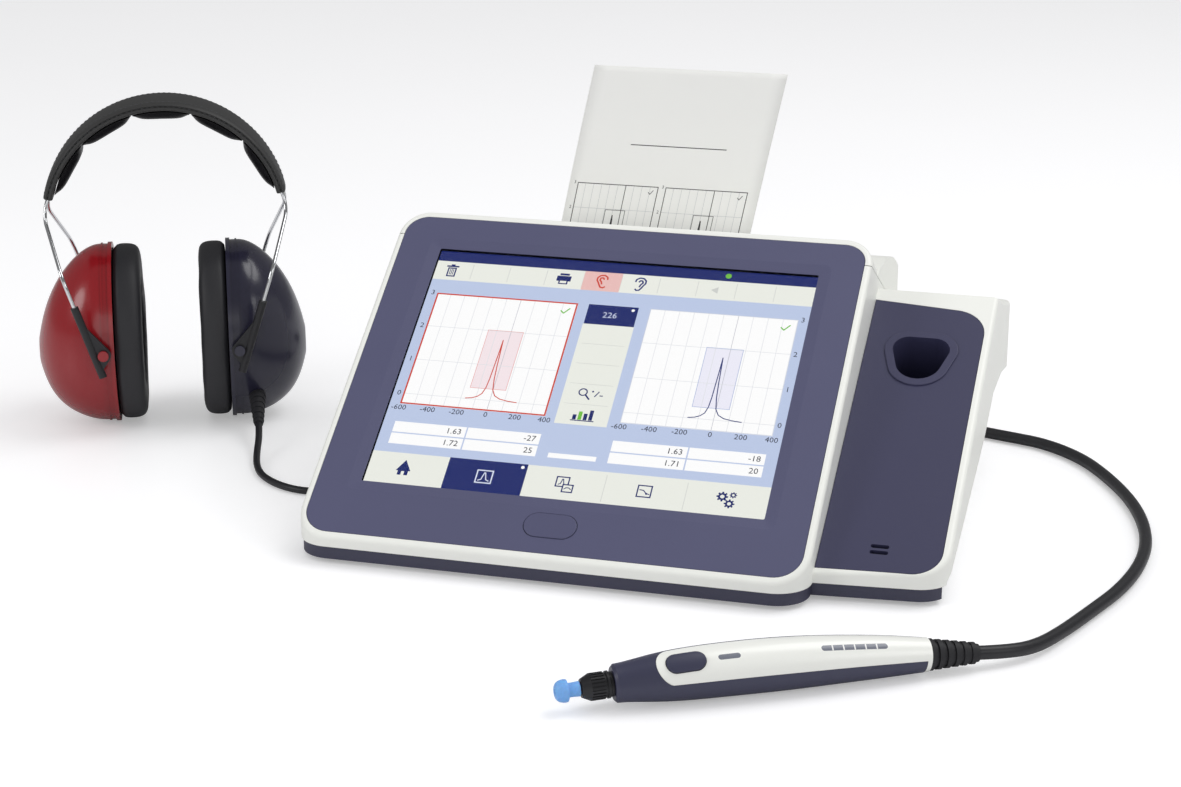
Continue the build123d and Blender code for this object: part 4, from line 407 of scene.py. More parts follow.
def headset_matrix():
    """From the headset's own coordinates in millimetres to the frame."""
    turn = Matrix.Rotation(math.radians(HEADSET_YAW), 4, "Z")
    return Matrix.Scale(MM, 4) @ Matrix.Translation(HEADSET_PLACE) @ turn


def probe_matrix(along, straight=False):
    """A place on the probe's middle line, with X along it and Z to the side of the button."""
    lean = ((NOSE_END if straight else along) - PROBE_TOP_AT) / PROBE_BEND
    heading, roll = math.radians(PROBE_HEADING), math.radians(PROBE_ROLL)
    level = Vector((math.cos(heading), math.sin(heading), 0))
    upright = Vector((0, 0, 1))
    place = PROBE_TOP + PROBE_BEND * (math.sin(lean) * level - (1 - math.cos(lean)) * upright)
    ahead = math.cos(lean) * level - math.sin(lean) * upright
    aside = Vector((-math.sin(heading), math.cos(heading), 0))
    face = ahead.cross(aside) * math.cos(roll) - aside * math.sin(roll)
    if straight:
        place = place + (along - NOSE_END) * ahead
    axes = Matrix((ahead, face.cross(ahead), face)).transposed().to_4x4()
    return Matrix.Scale(MM, 4) @ Matrix.Translation(place) @ axes


class FlatPicture:
    """Thin coloured shapes, one over another, drawn in millimetres."""

    def __init__(self, step):
        self.bm = bmesh.new()
        self.bm.loops.layers.float_color.new("paint")
        self.step = step

    def dye(self, corners, shade):
        """Colours a shape at its corners."""
        paint = self.bm.loops.layers.float_color["paint"]
        for corner in corners:
            for loop in corner.link_loops:
                loop[paint] = (*shade, 1)

    def place(self, x, y, level, turn=0.0):
        """Where a shape's middle goes."""
        raised = (level + 0.5) * self.step
        return Matrix.Translation((x, y, raised)) @ Matrix.Rotation(turn, 4, "Z")

    def slab(self, middle, length, width, shade):
        """A flat bar about its middle."""
        stretch = Matrix.Diagonal((length, width, self.step, 1))
        made = bmesh.ops.create_cube(self.bm, size=1, matrix=middle @ stretch)
        self.dye(made["verts"], shade)

    def box(self, x0, y0, x1, y1, level, shade):
        middle = self.place((x0 + x1) / 2, (y0 + y1) / 2, level)
        self.slab(middle, x1 - x0, y1 - y0, shade)

    def frame(self, x0, y0, x1, y1, width, level, shade):
        self.box(x0, y0, x1, y0 + width, level, shade)
        self.box(x0, y1 - width, x1, y1, level, shade)
        self.box(x0, y0 + width, x0 + width, y1 - width, level, shade)
        self.box(x1 - width, y0 + width, x1, y1 - width, level, shade)

    def disc(self, x, y, radius, level, shade, corners=20, turn=0.0):
        made = bmesh.ops.create_cone(
            self.bm,
            cap_ends=True,
            segments=corners,
            radius1=radius,
            radius2=radius,
            depth=self.step,
            matrix=self.place(x, y, level, turn),
        )
        self.dye(made["verts"], shade)

    def line(self, points, width, level, shade, closed=False):
        ends = points[1:] + points[:1] if closed else points[1:]
        for (x0, y0), (x1, y1) in zip(points, ends):
            turn = math.atan2(y1 - y0, x1 - x0)
            middle = self.place((x0 + x1) / 2, (y0 + y1) / 2, level, turn)
            self.slab(middle, math.hypot(x1 - x0, y1 - y0), width, shade)
        for x, y in points if closed else points[1:-1]:
            self.disc(x, y, width / 2, level, shade, corners=8)

    def number(self, text, x, y, height, level, shade, align="CENTER"):
        letters = bpy.data.curves.new("digits", "FONT")
        letters.body = text
        letters.size = height
        letters.align_x = align
        letters.align_y = "CENTER"
        letters.resolution_u = 2
        letters.extrude = self.step / 2
        carrier = bpy.data.objects.new("digits", letters)
        mesh = bpy.data.meshes.new_from_object(carrier)
        middle = self.place(x, y, level)
        corners = [self.bm.verts.new(middle @ vert.co) for vert in mesh.vertices]
        for polygon in mesh.polygons:
            self.bm.faces.new([corners[index] for index in polygon.vertices])
        self.dye(corners, shade)
        bpy.data.objects.remove(carrier)
        bpy.data.curves.remove(letters)
        bpy.data.meshes.remove(mesh)


# Display picture


def graph(picture, left, shades, curve, mirrored):
    """One measured curve in its grid, with the scale's numbers beside it."""
    low, high, width = 52.0, 128.5, 80.0
    zero, unit = 58.9, 23.2
    white = light(252, 252, 252)
    grey = light(222, 224, 228)
    dark = light(40, 42, 60)
    picture.box(left, low, left + width, high, 1, white)
    for step in range(1, 10):
        across = left + step * width / 10
        shade = light(186, 188, 196) if step == 6 else grey
        picture.box(across - 0.15, low, across + 0.15, high, 3, shade)
    for value in range(3):
        up = zero + value * unit
        picture.box(left, up - 0.15, left + width, up + 0.15, 3, grey)
    picture.box(left + 35.1, 66.2, left + 55.0, 105.8, 2, shades["range"])
    picture.frame(left + 35.1, 66.2, left + 55.0, 105.8, 0.3, 4, shades["range_line"])
    picture.line([(left + x, y) for x, y in curve], 0.55, 5, shades["curve"])
    picture.frame(left, low, left + width, high, shades["frame_width"], 5, shades["frame"])
    tick = [(left + width - 8.5, 122.8), (left + width - 6.6, 121.0), (left + width - 3.6, 124.6)]
    picture.line(tick, 0.7, 5, shades["tick"])
    for step, text in zip(range(0, 11, 2), ("-600", "-400", "-200", "0", "200", "400")):
        picture.number(text, left + step * width / 10, low - 2.6, 4.6, 5, dark)
    side = left + width + 2.4 if mirrored else left - 2.4
    for value in range(4):
        picture.number(str(value), side, zero + value * unit, 4.6, 5, dark)


def results(picture, left, values):
    """Four white boxes with measured numbers."""
    white = light(252, 252, 252)
    dark = light(36, 38, 52)
    for column in range(2):
        for row in range(2):
            x0 = left + column * 40.4
            y0 = 33.6 - row * 7.6
            picture.box(x0, y0, x0 + 39.6, y0 + 6.8, 1, white)
            picture.number(values[2 * row + column], x0 + 37.5, y0 + 3.3, 5.0, 3, dark, "RIGHT")


def ear(picture, x, y, height, level, shade, mirrored):
    """An ear drawn as two curved lines."""
    outer = [
        (-0.30, 0.16), (-0.27, 0.35), (-0.08, 0.49), (0.16, 0.47), (0.33, 0.30), (0.34, 0.08),
        (0.22, -0.10), (0.14, -0.28), (0.03, -0.45), (-0.14, -0.48), (-0.24, -0.37),
    ]
    inner = [(-0.10, 0.16), (-0.01, 0.29), (0.12, 0.27), (0.17, 0.12), (0.05, -0.03), (0.0, -0.22)]
    way = -1 if mirrored else 1
    for points in (outer, inner):
        places = [(x + way * px * height, y + py * height) for px, py in points]
        picture.line(places, height * 0.1, level, shade)


def gear(picture, x, y, radius, level, shade, hole):
    """A small toothed wheel."""
    picture.disc(x, y, radius, level, shade)
    for tooth in range(8):
        lean = tooth * math.pi / 4
        ahead = (math.cos(lean), math.sin(lean))
        ends = [
            (x + radius * 0.6 * ahead[0], y + radius * 0.6 * ahead[1]),
            (x + radius * 1.35 * ahead[0], y + radius * 1.35 * ahead[1]),
        ]
        picture.line(ends, radius * 0.45, level, shade)
    picture.disc(x, y, radius * 0.5, level + 1, hole)


def draw_buttons(picture, colours):
    """The rows of buttons along the display's top and foot, with their signs."""
    half = ACTIVE_WIDTH / 2
    navy, cell, rule = tuple(colours.navy), tuple(colours.cell), tuple(colours.rule)
    picture.box(-half, 151.4, half, ACTIVE_HEIGHT, 1, navy)
    picture.disc(57.5, 155.0, 1.7, 2, tuple(colours.green))
    picture.box(-half, 138.2, half, 151.4, 1, cell)
    pitch = ACTIVE_WIDTH / 10
    for step in range(1, 10):
        across = step * pitch - half
        picture.box(across - 0.15, 139.6, across + 0.15, 150.0, 2, rule)
    picture.box(-pitch, 138.2, 0, 151.4, 3, tuple(colours.rose))
    for column in range(6):
        for row in range(4):
            dot = (-pitch + 1.8 + column * 3.5, 139.9 + row * 3.3)
            picture.disc(dot[0], dot[1], 0.25, 4, light(244, 214, 210), corners=6)
    ear(picture, -10.4, 144.8, 9.0, 5, tuple(colours.red), True)
    ear(picture, 10.6, 144.8, 9.0, 3, tuple(colours.blue), False)
    # Bin, printer and play signs
    picture.frame(-98.6, 140.6, -93.6, 147.0, 0.8, 3, navy)
    picture.box(-99.6, 147.4, -92.6, 148.4, 3, navy)
    picture.box(-97.2, 148.4, -95.0, 149.3, 3, navy)
    for across in (-97.0, -96.1, -95.2):
        picture.box(across - 0.2, 142.0, across + 0.2, 146.0, 3, navy)
    picture.box(-36.0, 143.2, -28.0, 146.8, 3, navy)
    picture.box(-34.6, 147.2, -29.4, 148.6, 3, navy)
    picture.box(-34.6, 141.0, -29.4, 143.8, 4, navy)
    picture.box(-33.8, 141.7, -30.2, 143.3, 5, cell)
    picture.disc(52.4, 144.6, 2.6, 3, light(204, 206, 202), corners=3, turn=math.pi / 2)
    # Foot row
    wide = ACTIVE_WIDTH / 5
    picture.box(-half, 0, half, 20.5, 1, cell)
    for step in range(1, 5):
        across = step * wide - half
        picture.box(across - 0.15, 2.0, across + 0.15, 18.5, 2, rule)
    picture.box(wide - half, 0, 2 * wide - half, 20.5, 3, navy)
    picture.disc(2 * wide - half - 2.6, 18.4, 0.95, 4, light(250, 250, 250))
    pale = light(214, 220, 236)
    picture.disc(-86.2, 11.6, 4.6, 3, navy, corners=3, turn=0.0)
    picture.box(-89.0, 6.6, -83.4, 10.4, 3, navy)
    picture.box(-87.0, 6.6, -85.4, 9.0, 4, cell)
    peak = [(-3.0, -2.6), (-1.3, -1.8), (-0.3, 2.4), (0.3, 2.4), (1.3, -1.8), (3.0, -2.6)]
    picture.frame(-47.0, 6.2, -38.0, 14.6, 0.7, 4, pale)
    picture.line([(-42.5 + x, 10.4 + y) for x, y in peak], 0.55, 4, pale)
    picture.frame(-4.6, 8.6, 2.6, 15.2, 0.7, 3, navy)
    picture.line([(-1.0 + x * 0.7, 11.9 + y * 0.7) for x, y in peak], 0.5, 3, navy)
    picture.box(-0.6, 5.4, 5.4, 10.6, 4, cell)
    picture.frame(-0.6, 5.4, 5.4, 10.6, 0.7, 5, navy)
    picture.line([(0.6, 7.4), (1.6, 8.4), (3.2, 8.4), (4.3, 7.4)], 0.5, 5, navy)
    picture.frame(38.2, 7.0, 46.0, 14.6, 0.7, 3, navy)
    picture.line([(39.4, 11.6), (41.6, 11.4), (43.4, 9.4), (45.0, 9.2)], 0.55, 3, navy)
    picture.disc(43.4, 9.4, 0.6, 4, navy)
    gear(picture, 82.0, 12.2, 2.2, 3, navy, cell)
    gear(picture, 87.4, 13.6, 1.4, 3, navy, cell)
    gear(picture, 86.2, 8.2, 2.0, 3, navy, cell)


def draw_column(picture, colours):
    """The buttons between the two graphs."""
    navy, cell, rule = tuple(colours.navy), tuple(colours.cell), tuple(colours.rule)
    picture.box(-14.0, 115.2, 13.6, 128.7, 1, navy)
    picture.number("226", -1.0, 121.8, 5.4, 3, light(196, 204, 228))
    picture.disc(10.9, 126.4, 0.9, 3, light(250, 250, 250))
    picture.box(-14.4, 48.3, 13.8, 115.2, 1, cell)
    for step in range(1, 5):
        up = 48.3 + step * 13.38
        picture.box(-12.0, up - 0.12, 11.4, up + 0.12, 2, rule)
    # Magnifier, and a small bar chart
    ring = [
        (-3.6 + 2.2 * math.cos(turn * math.pi / 6), 69.6 + 2.2 * math.sin(turn * math.pi / 6))
        for turn in range(12)
    ]
    picture.line(ring, 0.7, 3, navy, closed=True)
    picture.line([(-2.0, 68.0), (0.6, 65.0)], 0.9, 3, navy)
    picture.disc(1.6, 70.4, 0.55, 3, navy)
    picture.line([(3.0, 67.0), (5.0, 70.6)], 0.6, 3, navy)
    picture.line([(5.6, 68.0), (7.4, 68.0)], 0.6, 3, navy)
    for bar, tall in enumerate((3.2, 5.4, 4.2, 6.6)):
        shade = tuple(colours.green) if bar == 1 else navy
        picture.box(-5.6 + bar * 2.9, 51.6, -3.6 + bar * 2.9, 51.6 + tall, 3, shade)
    picture.box(-6.4, 50.8, 6.2, 51.4, 3, navy)
    picture.box(-12.6, 26.2, 13.0, 29.2, 1, light(252, 252, 252))


class TYMP_OT_display(bpy.types.Operator):
    """Draws the picture on the display and fits its cover glass"""

    bl_idname = "tymp.display"
    bl_label = "Display"

    def execute(self, context):
        colours = context.scene.tymp_display
        picture = FlatPicture(0.03)
        half = ACTIVE_WIDTH / 2
        picture.box(-half, 0, half, ACTIVE_HEIGHT, 0, tuple(colours.field))
        draw_buttons(picture, colours)
        draw_column(picture, colours)
        right = {
            "range": light(243, 228, 232), "range_line": light(226, 160, 158),
            "curve": tuple(colours.red), "frame": tuple(colours.red), "frame_width": 0.9,
            "tick": tuple(colours.green),
        }
        left = {
            "range": light(235, 234, 246), "range_line": light(160, 176, 214),
            "curve": tuple(colours.blue), "frame": light(208, 212, 222), "frame_width": 0.35,
            "tick": tuple(colours.green),
        }
        curve = [
            (34.3, 59.1), (38.0, 59.7), (40.6, 60.9), (42.6, 62.9), (43.8, 67.0), (44.3, 73.0),
            (44.6, 82.0), (44.9, 91.0), (45.1, 99.4), (45.6, 91.0), (46.1, 82.0), (46.8, 73.0),
            (47.9, 65.8), (49.8, 62.2), (53.0, 60.3), (57.5, 59.4), (62.7, 58.9),
        ]
        graph(picture, -100.0, right, curve, False)
        graph(picture, 20.2, left, curve, True)
        results(picture, -99.2, ("1.63", "-27", "1.72", "25"))
        results(picture, 19.2, ("1.63", "-18", "1.71", "20"))
        bmesh.ops.transform(picture.bm, matrix=display_matrix(), verts=picture.bm.verts)
        lit = painted("lit_picture", 0.4, glow=1.0)
        put(picture.bm, "display_picture", [lit], "console", inside_out=False)

        low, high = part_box("touch_glass")
        glass = bmesh.new()
        bmesh.ops.create_grid(glass, x_segments=1, y_segments=1, size=0.5)
        tall = (high.y - low.y) / MM / math.cos(math.radians(DISPLAY_TILT))
        tall -= 1.8 * math.tan(math.radians(DISPLAY_TILT))
        bmesh.ops.scale(glass, vec=((high.x - low.x) / MM, tall, 1), verts=glass.verts)
        bmesh.ops.bevel(
            glass, geom=glass.verts, offset=4.0, affect="VERTICES", segments=6, profile=0.5,
            material=-1,
        )
        grown = bmesh.ops.extrude_face_region(glass, geom=glass.faces[:])
        risen = [part for part in grown["geom"] if isinstance(part, bmesh.types.BMVert)]
        bmesh.ops.translate(glass, vec=(0, 0, 1.5), verts=risen)
        raise_by = MODULE_DEPTH - GLASS_DEPTH - 1.5
        bmesh.ops.translate(glass, vec=(0, ACTIVE_HEIGHT / 2, raise_by), verts=glass.verts)
        bmesh.ops.transform(glass, matrix=display_matrix(), verts=glass.verts)
        pane = clear("cover_glass", (1, 1, 1), 0.03, 1.16)
        put(glass, "cover_glass", [pane], "console", ("touch_glass",), 30)
        return {"FINISHED"}


# Printed strip


def strip_point(across, up, out):
    """A place on the strip, which leans back in a gentle curve and drifts to one side."""
    share = up / STRIP_HEIGHT
    return MM * (
        STRIP_FOOT
        + Vector((across + STRIP_DRIFT * share, STRIP_LEAN * share * share - out, up))
    )


class TYMP_OT_printout(bpy.types.Operator):
    """Makes the printed strip that stands out of the lid"""

    bl_idname = "tymp.printout"
    bl_label = "Printout"

    def execute(self, context):
        sheet = bmesh.new()
        bmesh.ops.create_grid(sheet, x_segments=12, y_segments=30, size=0.5)
        for vert in sheet.verts:
            across = vert.co.x * STRIP_WIDTH
            up = (vert.co.y + 0.5) * STRIP_HEIGHT
            vert.co = strip_point(across, up, 0)
        paper = bpy.data.materials["paper"]
        piece = put(sheet, "printed_strip", [paper], "lid", ("paper_strip",), 60)
        thickened(piece, 0.12)

        ink = FlatPicture(0.02)
        dark, grey = light(58, 56, 60), light(196, 198, 200)
        wide, foot, top = 47.6, 0.6, 35.0
        for left in (-50.5, 1.2):
            ink.frame(left, foot, left + wide, top, 0.45, 0, dark)
            for step in range(1, 10):
                across = left + step * wide / 10
                if step != 6:
                    ink.box(across - 0.1, 1.0, across + 0.1, 34.5, 0, grey)
            ink.box(left + 28.3, 1.0, left + 28.7, 34.5, 1, dark)
            for up in (5.5, 20.4):
                ink.box(left + 0.5, up - 0.1, left + wide - 0.5, up + 0.1, 0, grey)
            ink.frame(left + 19.3, 1.0, left + 31.1, 20.1, 0.3, 1, dark)
            rising = [(22.6, 1.0), (23.6, 7.0), (24.1, 17.0)]
            falling = [(24.1, 17.0), (24.8, 7.0), (26.2, 1.0)]
            tick = [(42.2, 31.6), (43.3, 30.4), (45.0, 32.8)]
            for points, width, level in ((rising, 0.6, 2), (falling, 0.6, 2), (tick, 0.35, 1)):
                ink.line([(left + x, up) for x, up in points], width, level, dark)
            for value, up in enumerate((5.5, 20.4, 35.0)):
                ink.number(str(value + 1), left - 1.6, up, 2.6, 1, dark)
        ink.box(-24.4, 58.0, 31.1, 58.5, 0, dark)
        bm = ink.bm
        for cut in range(1, 26):
            geometry = bm.verts[:] + bm.edges[:] + bm.faces[:]
            bmesh.ops.bisect_plane(
                bm, geom=geometry, plane_co=(0, cut * 4.0, 0), plane_no=(0, 1, 0), dist=0.0001
            )
        for vert in bm.verts:
            vert.co = strip_point(vert.co.x, vert.co.y, 0.07 + vert.co.z)
        print_ink = painted("print_ink", 0.7)
        put(bm, "printed_lines", [print_ink], "lid", inside_out=False)
        return {"FINISHED"}


# Hand probe


class TYMP_OT_probe_details(bpy.types.Operator):
    """Makes the soft ear tip and the bars between the probe's lamps"""

    bl_idname = "tymp.probe_details"
    bl_label = "Probe details"

    def execute(self, context):
        outline = [
            (0.35, 1.35), (0.05, 1.7), (0.0, 2.3), (0.35, 3.3), (1.2, 4.3), (2.5, 5.0),
            (4.2, 5.25), (5.3, 5.2), (5.9, 4.95), (5.8, 4.5), (5.2, 3.9), (5.4, 3.35),
            (6.6, 3.2), (9.3, 3.3), (11.3, 3.5), (11.45, 3.3), (11.45, 2.7), (3.0, 2.7),
            (2.9, 1.5), (1.2, 1.3),
        ]
        ring = [(along, 0, radius) for along, radius in outline]
        tip = turned(ring, (1, 0, 0), 2 * math.pi, 40)
        bmesh.ops.transform(tip, matrix=probe_matrix(0, straight=True), verts=tip.verts)
        blue = tuple(context.scene.tymp_finish.tip_blue)
        silicone, tree, shader = start_material("blue_silicone", blue, 0.38)
        grain = clouds(tree, 1.1)
        mottled(tree, shader, grain, blue, 0.88, 1.12)
        emboss(tree, shader, grain, 0.02)
        settle(shader, Subsurface_Weight=0.25, Subsurface_Scale=0.003)
        piece = put(tip, "soft_tip", [silicone], "tip", ("ear_tip",), 60)
        subdivided(piece, 1)

        bars = bmesh.new()
        for step in range(5):
            along = 136.4 + (step - 2) * 5.3
            stretch = Matrix.Diagonal((0.8, 2.7, 1.6, 1))
            lift = Matrix.Translation((0, 0, 10.0 - (step - 2) * 0.31))
            made = bmesh.ops.create_cube(bars, size=1, matrix=probe_matrix(along) @ lift @ stretch)
            bmesh.ops.bevel(
                bars, geom=made["verts"] + edges_of(made["verts"]),
                offset=0.25 * MM, affect="EDGES", segments=2, profile=0.5, material=-1,
            )
        white = bpy.data.materials["probe_white"]
        put(bars, "lamp_bars", [white], "probe", sharp=40)
        return {"FINISHED"}


# Headset


class TYMP_OT_ear_cushions(bpy.types.Operator):
    """Makes the two padded ear cushions"""

    bl_idname = "tymp.ear_cushions"
    bl_label = "Ear cushions"

    def execute(self, context):
        folds = context.scene.tymp_headset.fold_depth / MM
        section = [
            (0.16, 32.9), (0.06, 30.6), (0.0, 27.6), (0.0, 22.0), (0.04, 19.0), (0.12, 17.3),
            (0.24, 16.85), (0.42, 16.8), (0.62, 16.8), (0.78, 17.1), (0.90, 18.2), (0.965, 20.2),
            (0.995, 23.0), (1.0, 26.5), (0.99, 29.6), (0.95, 31.0), (0.90, 31.8), (0.88, 32.9),
        ]
        leather = bpy.data.materials["cushion_black"]
        for side, name, node in ((-1, "red_side", "red_cushion"), (1, "dark_side", "dark_cushion")):
            ring = [(1 + share, 0, height) for share, height in section]
            bm = turned(ring, (0, 0, 1), 2 * math.pi, 72)
            for vert in bm.verts:
                angle = math.atan2(vert.co.y, vert.co.x)
                share = math.hypot(vert.co.x, vert.co.y) - 1
                height = vert.co.z
                way = Vector((math.cos(angle), math.sin(angle)))
                spot = (way * CUSHION_HOLE).lerp(way * CUSHION_RIM, share)
                ripple = math.sin(angle * 37) * 0.5 + math.sin(angle * 53 + 1.3) * 0.5
                near_hole = max(0.0, 1 - abs(share - 0.12) / 0.22)
                near_seam = max(0.0, 1 - abs(height - 30.5) / 3.5) * (share > 0.5)
                soft = noise.noise(Vector((spot.x / 16, spot.y / 16, side * 3.0)))
                give = folds * ripple * (near_hole + 0.6 * near_seam) + 0.5 * soft * (height < 29)
                out = min(height + give * 0.6, CUSHION_SEAT) if height > 30 else height + give
                grow = 1 + 0.012 * soft * (height < 30)
                vert.co = (side * out, -spot.x * grow, CUP_MIDDLE + spot.y * grow)
            bmesh.ops.transform(bm, matrix=headset_matrix(), verts=bm.verts)
            piece = put(bm, node + "_soft", [leather], name, (node,), 80)
            subdivided(piece, 2)
        return {"FINISHED"}


def band_place(radius, lean, back):
    """A place on the headband's arch, in the headset's own millimetres."""
    return Vector(
        (radius * math.sin(lean), back, BAND_MIDDLE + radius * math.cos(lean))
    )


class TYMP_OT_headband(bpy.types.Operator):
    """Makes the headband's cover, its stitches and its pads"""

    bl_idname = "tymp.headband"
    bl_label = "Headband"

    def execute(self, context):
        sizes = context.scene.tymp_headset
        cover = bpy.data.materials["band_black"]
        half = [
            (71.9, 0.0), (71.8, 6.0), (71.6, 12.0), (71.3, 15.4), (70.7, 17.2), (70.0, 17.9),
            (69.4, 17.6), (69.1, 17.0), (68.8, 17.6), (68.2, 18.0), (67.4, 17.8), (66.7, 17.0),
            (66.2, 15.2), (66.05, 12.0), (66.0, 6.0), (66.0, 0.0),
        ]
        section = half + [(radius, -back) for radius, back in half[-2:0:-1]]
        across, down = math.sin(BAND_HALF_SPAN), math.cos(BAND_HALF_SPAN)
        ring = [(-radius * across, back, radius * down) for radius, back in section]
        bm = turned(ring, (0, 1, 0), 2 * BAND_HALF_SPAN, 96)
        open_edges = [edge for edge in bm.edges if edge.is_boundary]
        bmesh.ops.holes_fill(bm, edges=open_edges)
        bmesh.ops.translate(bm, vec=(0, 0, BAND_MIDDLE), verts=bm.verts)
        bmesh.ops.transform(bm, matrix=headset_matrix(), verts=bm.verts)
        put(bm, "headband_shell", [cover], "headband", ("headband_cover",), 50)

        thread = moulded("thread", light(70, 70, 74), 0.6, 0.3, 0.02)
        stitches = bmesh.new()
        rows = [(69.1, 17.1), (69.1, -17.1), (71.45, 13.8), (71.45, -13.8)]
        stitched = 2 * BAND_HALF_SPAN * 70 * MM
        count = int(stitched / sizes.stitch_pitch)
        for radius, back in rows:
            for step in range(1, count):
                lean = (step / count - 0.5) * 2 * BAND_HALF_SPAN
                stretch = Matrix.Diagonal((1.9, 0.55, 0.5, 1))
                turn = Matrix.Rotation(lean, 4, "Y")
                middle = Matrix.Translation(band_place(radius, lean, back))
                bmesh.ops.create_icosphere(
                    stitches, subdivisions=1, radius=0.6,
                    matrix=headset_matrix() @ middle @ turn @ stretch,
                )
        put(stitches, "headband_stitches", [thread], "headband", sharp=80)

        soft = bpy.data.materials["pad_black"]
        pad_angle = math.radians(148.0 / 5)
        wide = pad_angle * 0.485
        pads = bmesh.new()
        for step in range(5):
            lean = (step - 2) * pad_angle
            made = bmesh.ops.create_cube(pads, size=2)
            around = edges_of(made["verts"])
            bmesh.ops.subdivide_edges(pads, edges=around, cuts=9, use_grid_fill=True)
            for vert in [vert for vert in pads.verts if not vert.tag]:
                vert.tag = True
                x, y, z = vert.co
                side_in = max(0.0, 1 - abs(x) ** 2.6) ** 0.55
                edge_in = max(0.0, 1 - abs(y) ** 5) ** 0.5
                pucker = 0.35 * math.sin(9 * y + step) * abs(x) ** 3
                crown = sizes.pad_height / MM * side_in * edge_in * (1 + 0.03 * math.sin(4 * y))
                depth = 0.2 + (1 + z) / 2 * (crown + 0.3 + pucker * side_in)
                spot = band_place(65.9 - depth, lean + x * wide, y * (15.8 - 0.5 * abs(x) ** 3))
                vert.co = spot
        bmesh.ops.transform(pads, matrix=headset_matrix(), verts=pads.verts)
        nodes = ("headband_pads",)
        piece = put(pads, "headband_padding", [soft], "headband", nodes, 70)
        subdivided(piece, 1)
        return {"FINISHED"}


# Cords

PROBE_ROUTE = [
    (0.22081, -0.05441, 0.00739), (0.23293, -0.04747, 0.0064), (0.2455, -0.0335, 0.0046),
    (0.256, -0.008, 0.0034), (0.2665, 0.02, 0.0034),
    (0.2775, 0.05, 0.0034), (0.2845, 0.083, 0.0034), (0.2865, 0.116, 0.0034),
    (0.2825, 0.15, 0.0034), (0.2735, 0.183, 0.0034), (0.26, 0.214, 0.0034),
    (0.243, 0.244, 0.0034), (0.22, 0.265, 0.0034), (0.198, 0.272, 0.0034),
    (0.173, 0.28, 0.0034), (0.15, 0.299, 0.0034), (0.14146, 0.3464, 0.0053),
    (0.14018, 0.3934, 0.0053),
]
PROBE_TAIL = [
    (0.05582, 0.3934, 0.0125), (0.05522, 0.3714, 0.0125), (0.056, 0.334, 0.034),
    (0.056, 0.311, 0.034),
]
HEADSET_ROUTE = [
    (-0.22156, 0.15131, 0.01198), (-0.21645, 0.13983, 0.00861), (-0.2115, 0.124, 0.0042),
    (-0.205, 0.1085, 0.0021), (-0.1955, 0.094, 0.0021), (-0.181, 0.0825, 0.0021),
    (-0.165, 0.077, 0.0021), (-0.1515, 0.0805, 0.0021), (-0.1445, 0.093, 0.0021),
    (-0.1435, 0.112, 0.0021), (-0.146, 0.14, 0.0021), (-0.1485, 0.178, 0.0021),
    (-0.1475, 0.22, 0.0021), (-0.142, 0.262, 0.0021), (-0.13, 0.3, 0.0021),
    (-0.1219, 0.341, 0.004), (-0.1211, 0.375, 0.004),
]
HEADSET_TAIL = [
    (-0.0599, 0.375, 0.0086), (-0.05942, 0.355, 0.0086), (-0.06, 0.324, 0.034),
    (-0.06, 0.305, 0.034),
]


# Each coil's centre, outer radius, pitch, turns and lowest height, in metres
PROBE_COIL = ((0.098, 0.4), 0.042, 0.0072, 4.5, 0.0053)
HEADSET_COIL = ((-0.0905, 0.379), 0.0305, 0.0046, 7.5, 0.004)
STRAP_WIDTH = 9.0 * MM
STRAP_ROOM = 1.3 * MM


def coil_turns(coil, first, turning):
    """Points along a coil that winds in, climbs a layer and winds out again."""
    centre, outer, pitch, turns, low = coil
    per_turn = 16
    points = []
    for step in range(round(turns * per_turn) + 1):
        wound = step / per_turn
        radius = (outer - pitch * min(wound, turns - wound)) / math.cos(math.pi / per_turn)
        climb = min(max((wound - turns / 2 + 0.25) / 0.5, 0), 1)
        height = low + pitch * climb * climb * (3 - 2 * climb)
        angle = math.radians(first) + turning * 2 * math.pi * wound
        points.append(
            (centre[0] + radius * math.cos(angle), centre[1] + radius * math.sin(angle), height)
        )
    return points


def lay_cord(name, points, diameter, material, replaced):
    """One smooth cord along its points."""
    line = bpy.data.curves.new(name, "CURVE")
    line.dimensions = "3D"
    line.resolution_u = 6
    line.bevel_depth = diameter / 2
    line.bevel_resolution = 4
    line.use_fill_caps = True
    spline = line.splines.new("NURBS")
    spline.points.add(len(points) - 1)
    for spot, point in zip(spline.points, points):
        spot.co = (*point, 1)
    spline.order_u = 3
    spline.use_endpoint_u = True
    line.materials.append(material)
    cord = bpy.data.objects.new(name, line)
    bpy.context.scene.collection.objects.link(cord)
    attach(cord, "console")
    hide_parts(*replaced)
    return cord


class TYMP_OT_cords(bpy.types.Operator):
    """Lays the two cords with their coils"""

    bl_idname = "tymp.cords"
    bl_label = "Cords"

    def execute(self, context):
        sizes = context.scene.tymp_cords
        sheath = bpy.data.materials["cord_sheath"]
        points = PROBE_ROUTE + coil_turns(PROBE_COIL, 0.0, 1) + PROBE_TAIL
        nodes = ("probe_cord", "probe_cord_coil")
        cord = lay_cord("probe_lead", points, sizes.probe_cord, sheath, nodes)
        points = HEADSET_ROUTE + coil_turns(HEADSET_COIL, 180.0, -1) + HEADSET_TAIL
        nodes = ("headset_cord", "headset_cord_coil")
        cord = lay_cord("headset_lead", points, sizes.headset_cord, sheath, nodes)
        return {"FINISHED"}


